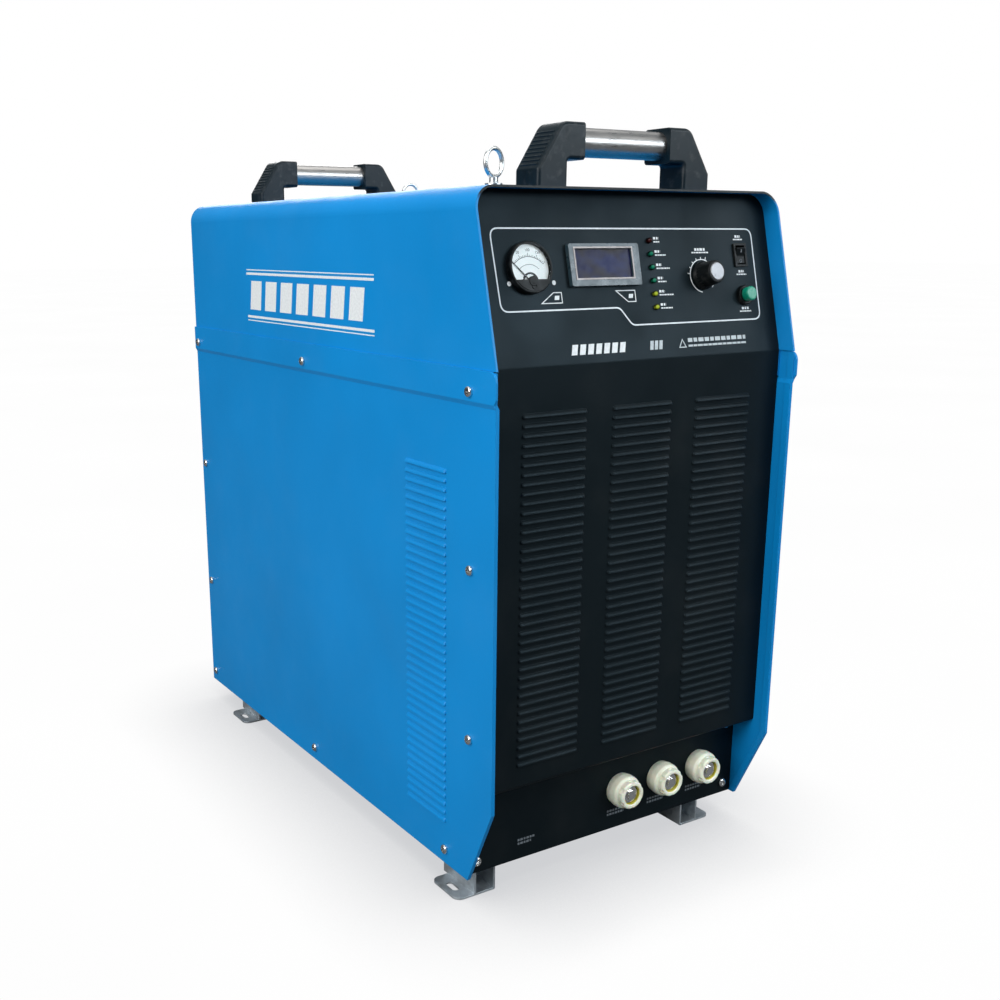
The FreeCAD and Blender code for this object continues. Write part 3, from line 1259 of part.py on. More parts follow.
def earth_stud():
    """Brass earthing screw with a washer and a nut."""
    head = hexagon("earth_screw_head", 13, 5, 0, 0, "-size.plate - 5.1")
    stud = union("earth_screw", [head, rod("earth_screw_stem", 8, 28, 0, 0, "-size.plate - 5.1")])
    washer = ring("earth_washer", 18, 8.2, 1.6, 0, 0, 0.05)
    cap = nut("earth_nut", 13, 8.06, 6, 0, 0, 1.7)
    keep(group("earth_stud", [on_rear(piece, FITTING_ACROSS, EARTH_Z, REAR_FACE)
                              for piece in (stud, washer, cap)]))


# --------------------------------------------------------------------------------------------
# Power parts inside
# --------------------------------------------------------------------------------------------
FLOOR = "(%s + size.plate)" % UNDERSIDE
SINK_START, SINK_LENGTH, SINK_HEIGHT = 265, 280, 250
SINK_BASE_X, SINK_BASE, FIN_REACH = 92, 12, 56


def heat_sink(name, side):
    """Extruded heat sink standing on the base pan, its fins running front to rear."""
    body = body_named(name)
    inner, outer = side * SINK_BASE_X, side * (SINK_BASE_X + SINK_BASE)
    tip = side * (SINK_BASE_X + SINK_BASE + FIN_REACH)
    plate = rectangle(sketch_on(body, "XZ_Plane"), str(min(inner, outer)), "0", str(max(inner, outer)),
                      str(SINK_HEIGHT))
    pad(body, plate, SINK_LENGTH, backwards=True)
    near, far = min(outer - side, tip), max(outer - side, tip)
    fin = rectangle(sketch_on(body, "XZ_Plane"), str(near), "0", str(far), "2.5")
    rib = pad(body, fin, SINK_LENGTH, backwards=True)
    fins = body.newObject("PartDesign::LinearPattern", name + "_fins")
    fins.Originals = [rib]
    fins.Direction = (fin, ["V_Axis"])
    fins.Length = SINK_HEIGHT - 2.5
    fins.Occurrences = 21
    body.Tip = fins
    return place(body, "0", SINK_START, FLOOR)


def power_module(name, x, y, z, side):
    """A screw-down power module with three terminal pads, its base against a heat sink."""
    deep = 28
    low_x = x if side < 0 else x - deep
    case = box(name + "_case", deep, 94, 60, low_x, y, z)
    top_x = low_x + deep if side < 0 else low_x - 3
    pads = [box("%s_pad_%d" % (name, index), 3, 18, 20, top_x, y + 10 + 28 * index, z + " + 20")
            for index in range(3)]
    return union(name, [case] + pads)


def power_stage():
    """Heat sinks with their transistor and rectifier modules, and the bus capacitors between."""
    keep(group("heat_sinks", [heat_sink("inverter_sink", -1), heat_sink("output_sink", 1)]))
    rows = (SINK_START + 30, SINK_START + 150)
    modules = [power_module("power_module_%d" % index, side * SINK_BASE_X, y, FLOOR + " + 140", side)
               for index, (side, y) in enumerate((side, y) for side in (-1, 1) for y in rows)]
    keep(group("power_modules", modules))
    cans = [rod("bus_capacitor_%d" % index, 51, 105, x, y, FLOOR)
            for index, (x, y) in enumerate((x, y) for x in (-28, 28) for y in (330, 400, 470))]
    keep(group("bus_capacitors", cans))


def wound_part(core_name, coil_name, x, y, width, depth, height, limb):
    """A rectangular core with a window on each side of its middle limb, and the coil on that limb."""
    core_box = box(core_name + "_block", width, depth, height, x - width / 2, y, FLOOR)
    side_limb = limb / 2
    window_width = (width - 2 * limb) / 2
    first = x - width / 2 + side_limb
    windows = [box("%s_window_%d" % (core_name, index), window_width, depth + 20, height - limb,
                   first + index * (window_width + limb), y - 10, FLOOR + " + %s" % side_limb)
               for index in range(2)]
    keep(cut(core_name, core_box, windows))
    reach = window_width - 3
    coil_block = box(coil_name + "_block", limb + 2 * reach, depth + 2 * reach, height - limb - 4,
                     x - limb / 2 - reach, y - reach, FLOOR + " + %s" % (limb / 2 + 2))
    round_edges = doc.addObject("Part::Fillet", coil_name + "_rounded")
    round_edges.Base = coil_block
    doc.recompute()
    upright = [index + 1 for index, edge in enumerate(coil_block.Shape.Edges) if edge.BoundBox.ZLength > 1]
    round_edges.Edges = [(index, reach * 0.8, reach * 0.8) for index in upright]
    inside = box(coil_name + "_inside", limb + 0.6, depth + 0.6, height, x - limb / 2 - 0.3, y - 0.3, FLOOR)
    keep(cut(coil_name, round_edges, [inside]))


def magnetics():
    """Main transformer, output reactor and the ignition coil for the pilot arc."""
    wound_part("transformer_core", "transformer_coil", -70, 160, 130, 60, 120, 32)
    wound_part("reactor_core", "reactor_coil", 90, 150, 110, 60, 110, 28)


def ignition_coil():
    """Toroid on a bracket that superimposes the high-frequency spark on the output."""
    loop = doc.addObject("Part::Torus", "ignition_toroid")
    loop.Radius1 = 26
    loop.Radius2 = 11
    place(loop, "-120", "92", "%s + 40" % FLOOR, Rotation(Y_AXIS, 90))
    foot = box("ignition_foot", 20, 60, 6, -130, 62, FLOOR)
    keep(union("ignition_coil", [loop, foot]))


def control_board():
    """Control board on the shelf, with its relays and plugs."""
    deck = "(%s + size.shelf_height + 2 * size.plate)" % UNDERSIDE
    board = box("board_sheet", 240, 180, 1.6, -120, 160, deck + " + 12")
    posts = [rod("board_post_%d" % index, 7, 12.4, x, y, deck)
             for index, (x, y) in enumerate((x, y) for x in (-112, 112) for y in (168, 332))]
    parts = [box("board_relay_%d" % index, 28, 20, 24, -100 + 50 * index, 190, deck + " + 13")
             for index in range(4)]
    parts += [box("board_plug_%d" % index, 30, 8, 12, -105 + 60 * index, 320, deck + " + 13")
              for index in range(4)]
    keep(union("control_board", [board] + posts + parts))


# --------------------------------------------------------------------------------------------
# Assembly
# --------------------------------------------------------------------------------------------
def build():
    holes = screw_holes()
    envelope = inside_of_hood()
    base_pan(holes)
    front_panel(holes, envelope)
    terminal_panel()
    side_panel("left_side_panel", -1, holes)
    side_panel("right_side_panel", 1, holes)
    top_hood(holes)
    rear_panel(holes, envelope)
    upper_frame_rails(holes)
    mid_shelf()
    foot_brackets()
    side_screws()
    panel_screws()
    foot_bolts()
    handle_ends()
    handle_grips()
    handle_bolts()
    lifting_eyes()
    ammeter()
    digital_display()
    indicator_lamps()
    current_control()
    rocker_switch()
    push_button()
    output_terminals()
    output_busbars()
    cooling_fans()
    circuit_breaker()
    cable_gland()
    gas_line()
    earth_stud()
    power_stage()
    magnetics()
    ignition_coil()
    control_board()


def check_and_write():
    """Stop on any failed object or bad shape, then write one STEP file for each sub-part."""
    doc.recompute()
    failed = [item.Name for item in doc.Objects if {"Invalid", "Error"} & set(item.State)]
    bad = [node.Label for node in nodes if node.Shape.isNull() or not node.Shape.isValid()]
    if failed or bad:
        raise RuntimeError("failed objects %s, bad shapes %s" % (failed, bad))
    os.makedirs("parts", exist_ok=True)
    for node in nodes:
        node.Shape.exportStep(os.path.join("parts", node.Label + ".step"))
    print(len(nodes), "sub-parts written")


build()
check_and_write()
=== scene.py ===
import json
import math
import bpy
import bmesh
from mathutils import Matrix, Vector


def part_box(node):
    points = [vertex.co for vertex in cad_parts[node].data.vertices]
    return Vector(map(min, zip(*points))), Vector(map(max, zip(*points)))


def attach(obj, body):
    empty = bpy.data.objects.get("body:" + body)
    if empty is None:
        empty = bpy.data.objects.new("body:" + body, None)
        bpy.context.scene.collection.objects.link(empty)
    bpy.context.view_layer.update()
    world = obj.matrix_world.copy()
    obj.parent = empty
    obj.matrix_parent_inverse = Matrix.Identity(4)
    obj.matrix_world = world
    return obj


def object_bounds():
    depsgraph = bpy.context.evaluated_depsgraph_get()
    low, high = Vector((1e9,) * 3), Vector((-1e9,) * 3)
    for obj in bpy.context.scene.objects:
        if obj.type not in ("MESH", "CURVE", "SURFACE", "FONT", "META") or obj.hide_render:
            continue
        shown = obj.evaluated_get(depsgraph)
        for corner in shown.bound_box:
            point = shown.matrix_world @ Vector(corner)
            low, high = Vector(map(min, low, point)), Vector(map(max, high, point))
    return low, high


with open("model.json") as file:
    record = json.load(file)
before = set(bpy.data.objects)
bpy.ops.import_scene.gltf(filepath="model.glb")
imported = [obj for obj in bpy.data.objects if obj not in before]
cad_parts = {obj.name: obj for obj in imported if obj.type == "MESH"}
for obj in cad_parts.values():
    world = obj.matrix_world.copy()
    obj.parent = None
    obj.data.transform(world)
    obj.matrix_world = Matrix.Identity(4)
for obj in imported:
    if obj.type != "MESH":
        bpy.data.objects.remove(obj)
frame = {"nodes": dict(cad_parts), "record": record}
CAD_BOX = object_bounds()

# --------------------------------------------------------------------------------------------
# Places worked out from the frame; everything is in metres
# --------------------------------------------------------------------------------------------
MM = 0.001
X_AXIS = Vector((1, 0, 0))
Y_AXIS = Vector((0, 1, 0))
Z_AXIS = Vector((0, 0, 1))
INK = 0.08 * MM                     # how far printed marks stand proud
ROOT = "enclosure"
JOINTS = {joint["name"]: joint for joint in frame["record"]["behaviour"]["joints"]}
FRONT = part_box("top_hood")[0].y     # front edge of the hood and the side panels

# Places on the control face: across from mid width, up from the bend at its foot
KNOB = (82.7 * MM, 73.4 * MM)
LAMP_ACROSS = 21 * MM
LAMP_LOW = 46 * MM                  # height of the lowest lamp
LAMP_PITCH = 12 * MM
METER_RADIUS = 21.5 * MM            # of the graduated arc, round the needle's pivot
METER_START = 135                   # degrees from the right; the scale runs clockwise
METER_SWEEP = 90


class Face:
    """A flat face of the unit with its own across, up and outward directions."""

    def __init__(self, origin, across, up):
        self.origin = Vector(origin)
        self.across = Vector(across)
        self.up = Vector(up)
        self.out = self.across.cross(self.up)

    def point(self, x, y, lift=0.0):
        return self.origin + self.across * x + self.up * y + self.out * lift

    def matrix(self, x=0.0, y=0.0, lift=0.0):
        turned = Matrix((self.across, self.up, self.out)).transposed().to_4x4()
        return Matrix.Translation(self.point(x, y, lift)) @ turned


def crown(name, face):
    """How far the outermost point of a CAD part stands in front of a face."""
    vertices = frame["nodes"][name].data.vertices
    return max((Vector(vertex.co) - face.origin).dot(face.out) for vertex in vertices)


def leaning_face():
    """The control face: its out direction is the knob's axis, its origin is the bend at mid width."""
    knob = JOINTS["current_control_turn"]
    out = Vector(knob["axis"]).normalized()
    up = out.cross(X_AXIS)
    return Face(Vector(knob["pos_m"]) - X_AXIS * KNOB[0] - up * KNOB[1], X_AXIS, up)


def pivot_on(face, joint_name):
    """Where the pivot of a joint stands on a face, across and up."""
    offset = Vector(JOINTS[joint_name]["pos_m"]) - face.origin
    return offset.dot(face.across), offset.dot(face.up)


FASCIA = leaning_face()
METER_PIVOT = pivot_on(FASCIA, "needle_swing")
SWITCH_ACROSS = pivot_on(FASCIA, "rocker_tip")[0]
LEFT_SIDE = Face((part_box("top_hood")[0].x, 0, 0), -Y_AXIS, Z_AXIS)
RIGHT_SIDE = Face((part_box("top_hood")[1].x, 0, 0), Y_AXIS, Z_AXIS)
TERMINAL_FACE = Face((0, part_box("terminal_panel")[0].y, 0), X_AXIS, Z_AXIS)


# --------------------------------------------------------------------------------------------
# Material helpers
# --------------------------------------------------------------------------------------------
class Paint:
    """A node material under construction; textures use object coordinates in metres."""

    def __init__(self, name):
        self.material = bpy.data.materials.new(name)
        self.material.use_nodes = True
        self.tree = self.material.node_tree
        self.shader = self.tree.nodes["Principled BSDF"]
        self.place = self.add("ShaderNodeTexCoord").outputs["Object"]

    def add(self, kind, inputs=None, **settings):
        made = self.tree.nodes.new(kind)
        for key, value in settings.items():
            setattr(made, key, value)
        for key, value in (inputs or {}).items():
            self.join(value, made.inputs[key])
        return made

    def join(self, value, socket):
        if isinstance(value, bpy.types.NodeSocket):
            self.tree.links.new(value, socket)
        else:
            socket.default_value = value

    def set(self, **inputs):
        """Give inputs of the surface shader; underscores stand for spaces."""
        for key, value in inputs.items():
            self.join(value, self.shader.inputs[key.replace("_", " ")])

    def noise(self, grain, detail=3.0, stretch=(1, 1, 1)):
        """Soft random pattern, 0 to 1, whose blobs are about grain metres across."""
        where = self.add("ShaderNodeVectorMath", {0: self.place, 1: stretch}, operation="MULTIPLY")
        made = self.add("ShaderNodeTexNoise", {"Vector": where.outputs[0], "Scale": 0.5 / grain,
                                               "Detail": detail})
        return made.outputs["Fac"]

    def ramp(self, value, low, high, start=0.0, end=1.0):
        """Map a value from low..high to start..end, held at both ends."""
        made = self.add("ShaderNodeMapRange", {"Value": value, "From Min": low, "From Max": high,
                                               "To Min": start, "To Max": end})
        return made.outputs["Result"]

    def mix(self, share, first, second):
        """Blend two colours."""
        made = self.add("ShaderNodeMix", data_type="RGBA")
        self.join(share, made.inputs["Factor"])
        for socket, value in (("A", first), ("B", second)):
            colour = value if isinstance(value, bpy.types.NodeSocket) else tuple(value) + (1.0,)
            target = next(item for item in made.inputs if item.name == socket and item.type == "RGBA")
            self.join(colour, target)
        return next(item for item in made.outputs if item.type == "RGBA")

    def product(self, first, second):
        return self.add("ShaderNodeMath", {0: first, 1: second}, operation="MULTIPLY").outputs[0]

    def total(self, first, second):
        return self.add("ShaderNodeMath", {0: first, 1: second}, operation="ADD").outputs[0]

    def rounded(self, radius):
        """Normals that look rounded over sharp edges."""
        return self.add("ShaderNodeBevel", {"Radius": radius}, samples=4).outputs["Normal"]

    def edges(self, radius):
        """A mask that is 1 on sharp edges and 0 on flat areas."""
        flat, sharp = 0.995, 0.85
        true = self.add("ShaderNodeNewGeometry").outputs["Normal"]
        lined_up = self.add("ShaderNodeVectorMath", {0: self.rounded(radius), 1: true},
                            operation="DOT_PRODUCT")
        return self.ramp(lined_up.outputs["Value"], flat, sharp)

    def bump(self, height, distance, strength=1.0, normal=None):
        made = self.add("ShaderNodeBump", {"Height": height, "Distance": distance, "Strength": strength})
        if normal is not None:
            self.join(normal, made.inputs["Normal"])
        self.set(Normal=made.outputs["Normal"])

    def show(self, share, first, second):
        """Let the surface be a blend of two shaders instead of the standard one."""
        both = self.add("ShaderNodeMixShader", {0: share, 1: first, 2: second})
        output = next(item for item in self.tree.nodes if item.type == "OUTPUT_MATERIAL")
        self.tree.links.new(both.outputs[0], output.inputs["Surface"])


def shade(colour, factor):
    """A colour made darker or lighter."""
    return tuple(min(1.0, part * factor) for part in colour)


def front_edge_mask(paint, bottom):
    """A mask that is 1 on faces that look forward and lie higher than bottom."""
    geometry = paint.add("ShaderNodeNewGeometry")
    facing = paint.add("ShaderNodeVectorMath", {0: geometry.outputs["Normal"], 1: tuple(-Y_AXIS)},
                       operation="DOT_PRODUCT").outputs["Value"]
    height = paint.add("ShaderNodeSeparateXYZ", {0: geometry.outputs["Position"]}).outputs["Z"]
    fade = 5 * MM
    return paint.product(paint.ramp(facing, 0.6, 0.8), paint.ramp(height, bottom, bottom + fade))


def powder_coat(name, colour, roughness, shine, texture, edge_wear_and_highlight, tint=(1, 1, 1), shade_painted_above=None):
    """Sprayed and baked coating: fine orange peel, slow colour drift, dust, and paler edges that are partly
    wear and partly a painted highlight.
    """
    paint = Paint(name)
    drift = paint.noise(90 * MM, 2.0)
    speck = paint.noise(1.2 * MM, 2.0)
    base = paint.mix(paint.ramp(drift, 0.3, 0.7), shade(colour, 0.93), shade(colour, 1.06))
    base = paint.mix(paint.ramp(speck, 0.45, 0.75, 0.0, 0.1), base, shade(colour, 1.3))
    # Sharp edges turn paler in patches: partly edge wear, partly a painted highlight.
    worn_and_lit_edges = paint.product(paint.edges(0.8 * MM), paint.ramp(paint.noise(14 * MM), 0.42, 0.62, 0.15, 1.0))
    base = paint.mix(paint.product(worn_and_lit_edges, edge_wear_and_highlight), base, tuple(1.5 * part + 0.02 for part in colour))
    # Black over the forward faces above a height: painted shade, standing in for the shadowed underside of
    # the roof's front edge.
    if shade_painted_above is not None:
        base = paint.mix(front_edge_mask(paint, shade_painted_above), base, BLACK)
    dust = paint.ramp(paint.noise(35 * MM, 4.0), 0.5, 0.8, 0.0, 0.012)
    paint.set(Base_Color=paint.mix(dust, base, (0.45, 0.43, 0.4)))
    paint.set(Roughness=paint.ramp(paint.noise(25 * MM, 4.0), 0.3, 0.7, roughness - 0.05, roughness + 0.07))
    paint.set(Specular_IOR_Level=shine, Specular_Tint=tuple(tint) + (1.0,))
    peel = paint.total(paint.noise(1.6 * MM, 3.0), paint.product(paint.noise(0.6 * MM, 1.0), 0.5))
    paint.bump(peel, texture, 0.5, paint.rounded(0.6 * MM))
    return paint.material


def bare_metal(name, colour, roughness, stretch=(1, 1, 1), grain=1.5 * MM, tarnish=0.25):
    """Plated or turned metal with brushing along one direction and faint tarnish."""
    paint = Paint(name)
    lines = paint.noise(grain, 4.0, stretch)
    cloud = paint.noise(8 * MM, 4.0)
    base = paint.mix(paint.ramp(cloud, 0.35, 0.7, 0.0, tarnish), colour, shade(colour, 0.55))
    paint.set(Base_Color=paint.mix(paint.ramp(lines, 0.3, 0.7, 0.0, 0.2), base, shade(colour, 0.75)))
    paint.set(Metallic=1.0)
    paint.set(Roughness=paint.ramp(lines, 0.3, 0.7, roughness * 0.75, roughness * 1.3))
    paint.bump(lines, 0.02 * MM, 0.5, paint.rounded(0.35 * MM))
    return paint.material


def galvanised(name):
    """Zinc-plated sheet with faint crystal patches and dull scuffs."""
    paint = Paint(name)
    cells = paint.add("ShaderNodeTexVoronoi", {"Vector": paint.place, "Scale": 1 / (7 * MM)})
    patch = paint.ramp(cells.outputs["Color"], 0.0, 1.0)
    base = paint.mix(patch, (0.55, 0.6, 0.64), (0.72, 0.77, 0.8))
    base = paint.mix(paint.ramp(paint.noise(12 * MM, 5.0), 0.5, 0.75, 0.0, 0.5), base, (0.24, 0.23, 0.22))
    paint.set(Base_Color=base, Metallic=0.9)
    paint.set(Roughness=paint.ramp(paint.noise(5 * MM, 4.0), 0.3, 0.7, 0.3, 0.5))
    paint.bump(paint.noise(1.0 * MM), 0.03 * MM, 0.5, paint.rounded(0.5 * MM))
    return paint.material


def moulded(name, colour, roughness, grain=0.5 * MM, depth=0.03 * MM, soft=0.0, edge=0.4 * MM,
            shine=0.5, glow=0.0):
    """Moulded plastic with a fine grain, slight shade drift, a little dust, and paler edges painted as a
    highlight.
    """
    paint = Paint(name)
    drift = paint.noise(9 * MM, 3.0)
    base = paint.mix(paint.ramp(drift, 0.3, 0.7), shade(colour, 0.88), shade(colour, 1.1))
    dust = paint.ramp(paint.noise(4 * MM, 5.0), 0.55, 0.8, 0.0, 0.08)
    base = paint.mix(dust, base, (0.4, 0.39, 0.37))
    # Paler sharp edges: a painted highlight.
    lit = paint.product(paint.edges(edge), 0.25)
    paint.set(Base_Color=paint.mix(lit, base, tuple(0.8 * part + 0.08 for part in colour)))
    paint.set(Roughness=paint.ramp(paint.noise(3 * MM, 4.0), 0.3, 0.7, roughness - 0.06, roughness + 0.08))
    paint.set(Specular_IOR_Level=shine)
    # A glow on a part that is no lamp: painted light.
    if glow:
        paint.set(Emission_Color=tuple(colour) + (1.0,), Emission_Strength=glow)
    if soft:
        paint.set(Subsurface_Weight=soft, Subsurface_Scale=1.5 * MM)
    paint.bump(paint.noise(grain, 2.0), depth, 0.5, paint.rounded(edge))
    return paint.material


def lens(name, colour, glow):
    """Lamp dome: a small glowing middle that falls off to a dark rim."""
    paint = Paint(name)
    facing = paint.add("ShaderNodeLayerWeight", {"Blend": 0.5}).outputs["Facing"]
    rim = paint.ramp(facing, 0.05, 0.45)
    paint.set(Base_Color=paint.mix(rim, colour, shade(colour, 0.08)))
    paint.set(Roughness=paint.ramp(paint.noise(1.5 * MM), 0.3, 0.7, 0.12, 0.25))
    paint.set(Specular_IOR_Level=0.25)
    paint.set(Emission_Color=tuple(colour) + (1.0,), Emission_Strength=paint.ramp(rim, 0.0, 0.8, glow, 0.0))
    paint.bump(paint.noise(0.8 * MM), 0.02 * MM, 0.4)
    return paint.material


def clear_sheet(name):
    """Thin clear window: mostly see-through, with a faint reflection and fingerprints."""
    paint = Paint(name)
    smear = paint.ramp(paint.noise(6 * MM, 5.0), 0.45, 0.75, 0.03, 0.16)
    gloss = paint.add("ShaderNodeBsdfGlossy", {"Color": (0.16, 0.17, 0.18, 1.0), "Roughness": smear})
    through = paint.add("ShaderNodeBsdfTransparent", {"Color": (0.96, 0.98, 0.98, 1.0)})
    share = paint.add("ShaderNodeFresnel", {"IOR": 1.14}).outputs["Fac"]
    paint.show(share, through.outputs[0], gloss.outputs[0])
    return paint.material


def tinted_screen(name):
    """Dark display window that turns blue in soft patches, with a faint sheen."""
    paint = Paint(name)
    cloud = paint.noise(14 * MM, 2.0, (1, 1, 1.6))
    base = paint.mix(paint.ramp(cloud, 0.38, 0.6), (0.016, 0.012, 0.014), (0.012, 0.017, 0.07))
    paint.set(Base_Color=base, Specular_IOR_Level=0.06)
    paint.set(Roughness=paint.ramp(paint.noise(3 * MM, 4.0), 0.4, 0.8, 0.12, 0.3))
    paint.bump(paint.noise(2 * MM), 0.01 * MM, 0.3)
    return paint.material


def wound_tape(name):
    """Varnished tape wound round a coil: narrow turns with a paler edge."""
    paint = Paint(name)
    turns = paint.add("ShaderNodeTexWave", {"Vector": paint.place, "Scale": 1 / (8 * MM), "Distortion": 0.6},
                      bands_direction="Z").outputs["Fac"]
    paint.set(Base_Color=paint.mix(turns, (0.45, 0.27, 0.05), (0.7, 0.5, 0.14)))
    paint.set(Roughness=paint.ramp(paint.noise(4 * MM), 0.3, 0.7, 0.35, 0.6))
    paint.bump(turns, 0.3 * MM, 0.6)
    return paint.material


def printed(name, colour, roughness=0.5):
    """Screen-printed ink, slightly uneven."""
    paint = Paint(name)
    thin = paint.ramp(paint.noise(1.2 * MM, 3.0), 0.3, 0.7)
    paint.set(Base_Color=paint.mix(thin, shade(colour, 0.85), colour))
    paint.set(Roughness=paint.ramp(paint.noise(2 * MM), 0.3, 0.7, roughness - 0.08, roughness + 0.08))
    paint.bump(paint.noise(0.4 * MM), 0.01 * MM, 0.4)
    return paint.material


def floor_surface(name):
    """Pale studio floor, evenly lit for the camera with a soft contact shadow; to the unit it is dim."""
    paint = Paint(name)
    drift = paint.ramp(paint.noise(0.4, 3.0), 0.3, 0.7, 0.0, 1.0)
    near = paint.add("ShaderNodeAmbientOcclusion", {"Distance": 0.16}, samples=8).outputs["AO"]
    open_floor = paint.mix(drift, (0.985,) * 3, (1.0,) * 3)
    pale = paint.mix(paint.ramp(near, 0.35, 1.0), (0.62, 0.63, 0.65), open_floor)
    seen = paint.add("ShaderNodeEmission", {"Color": pale, "Strength": 1.0})
    paint.set(Base_Color=paint.mix(drift, (0.10, 0.10, 0.10), (0.12, 0.12, 0.12)), Roughness=0.8)
    camera_ray = paint.add("ShaderNodeLightPath").outputs["Is Camera Ray"]
    paint.show(camera_ray, paint.shader.outputs[0], seen.outputs[0])
    return paint.material


# --------------------------------------------------------------------------------------------
# Mesh helpers: flat shapes drawn on a face and given a small thickness
# --------------------------------------------------------------------------------------------
def piece_from(name, mesh_builder, material, body):
    """Finish a bmesh as a piece that rides on a body."""
    mesh = bpy.data.meshes.new(name)
    bmesh.ops.recalc_face_normals(mesh_builder, faces=mesh_builder.faces)
    mesh_builder.to_mesh(mesh)
    mesh_builder.free()
    mesh.materials.append(material)
    made = bpy.data.objects.new(name, mesh)
    bpy.context.scene.collection.objects.link(made)
    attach(made, body)
    return made


def add_plate(builder, face, outline, lift, top):
    """A flat prism with the given outline between two heights above the face."""
    rings = [[builder.verts.new(face.point(x, y, height)) for x, y in outline] for height in (lift, top)]
    builder.faces.new(rings[0][::-1])
    builder.faces.new(rings[1])
    count = len(outline)
    for index in range(count):
        after = (index + 1) % count
        builder.faces.new([rings[0][index], rings[0][after], rings[1][after], rings[1][index]])


def add_ribbon(builder, face, path, width, lift, top, closed=False):
    """A line of even width along a path, mitred at its corners."""
    sharpest = 0.3              # keeps the mitre of a very sharp corner from running away
    points = [Vector(point) for point in path]
    count = len(points)
    sides = []
    for index, point in enumerate(points):
        before = points[index - 1] if closed or index else None
        after = points[(index + 1) % count] if closed or index < count - 1 else None
        arriving = (point - before).normalized() if before is not None else None
        leaving = (after - point).normalized() if after is not None else None
        arriving = arriving or leaving
        leaving = leaving or arriving
        normal = Vector((-(arriving + leaving).y, (arriving + leaving).x)).normalized()
        reach = width / 2 / max(sharpest, normal.dot(Vector((-leaving.y, leaving.x))))
        left, right = point + normal * reach, point - normal * reach
        sides.append([builder.verts.new(face.point(spot.x, spot.y, height))
                      for height in (lift, top) for spot in (left, right)])
    steps = count if closed else count - 1
    for index in range(steps):
        here, there = sides[index], sides[(index + 1) % count]
        for first, second in ((0, 1), (1, 3), (3, 2), (2, 0)):
            builder.faces.new([here[first], here[second], there[second], there[first]])
    if not closed:
        for end in (sides[0], sides[-1]):
            builder.faces.new([end[0], end[1], end[3], end[2]])


def arc(centre, radius, start, end, steps):
    """Points along an arc, angles in degrees."""
    angles = [math.radians(start + (end - start) * step / steps) for step in range(steps + 1)]
    return [(centre[0] + radius * math.cos(angle), centre[1] + radius * math.sin(angle)) for angle in angles]


def disc(centre, radius, steps=24):
    """Points round a full circle."""
    return arc(centre, radius, 0, 360, steps)[:-1]


def block(left, low, right, high, slant=0.0):
    """A rectangle, or a parallelogram whose top is moved sideways."""
    return [(left, low), (right, low), (right + slant, high), (left + slant, high)]


def rounded_path(corners, radius, steps=6):
    """Round every corner of a closed path; a round takes up less than half of a short side."""
    points = [Vector(corner) for corner in corners]
    path = []
    for index, corner in enumerate(points):
        back = points[index - 1] - corner
        ahead = points[(index + 1) % len(points)] - corner
        wanted = radius / math.tan(back.angle(ahead) / 2)
        reach = min(wanted, back.length / 2.2, ahead.length / 2.2)
        first, last = corner + back.normalized() * reach, corner + ahead.normalized() * reach
        for step in range(steps + 1):
            share = step / steps
            path.append(tuple(first.lerp(corner, share).lerp(corner.lerp(last, share), share)))
    return path


def figures(name, face, texts, size, lift, material, body):
    """Plain dial numbers; texts is a list of (number, x, y)."""
    builder = bmesh.new()
    for text, x, y in texts:
        curve = bpy.data.curves.new(name + "_curve", "FONT")
        curve.body = text
        curve.size = size
        curve.align_x = "CENTER"
        curve.align_y = "CENTER"
        curve.extrude = INK / 2
        carrier = bpy.data.objects.new(name + "_carrier", curve)
        bpy.context.scene.collection.objects.link(carrier)
        mesh = bpy.data.meshes.new_from_object(carrier.evaluated_get(bpy.context.evaluated_depsgraph_get()))
        mesh.transform(face.matrix(x, y, lift))
        builder.from_mesh(mesh)
        bpy.data.objects.remove(carrier)
        bpy.data.curves.remove(curve)
        bpy.data.meshes.remove(mesh)
    return piece_from(name, builder, material, body)


# --------------------------------------------------------------------------------------------
# Materials of the CAD parts
# --------------------------------------------------------------------------------------------
BLUE = (0.0015, 0.221, 0.56)
BLACK = (0.0036, 0.0063, 0.0078)


def coats():
    """Sprayed coats of the sheet-metal parts, with the nodes that wear them."""
    roof_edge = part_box("top_hood")[1].z - 12 * MM       # the roof's front edge is all above this
    on_case = {"roughness": 0.4, "shine": 0.25, "texture": 0.05 * MM, "edge_wear_and_highlight": 0.35}
    on_panels = {"roughness": 0.45, "shine": 0.15, "texture": 0.07 * MM, "edge_wear_and_highlight": 0.5}
    return {
        powder_coat("blue_coat", BLUE, **on_case): ["left_side_panel", "right_side_panel"],
        # The hood's coat carries black painted shade along the roof's front edge.
        powder_coat("hood_coat", BLUE, shade_painted_above=roof_edge, **on_case): ["top_hood"],
        powder_coat("black_coat", BLACK, tint=(0.6, 0.85, 1.0), **on_panels):
            ["front_panel", "terminal_panel", "rear_panel"],
    }


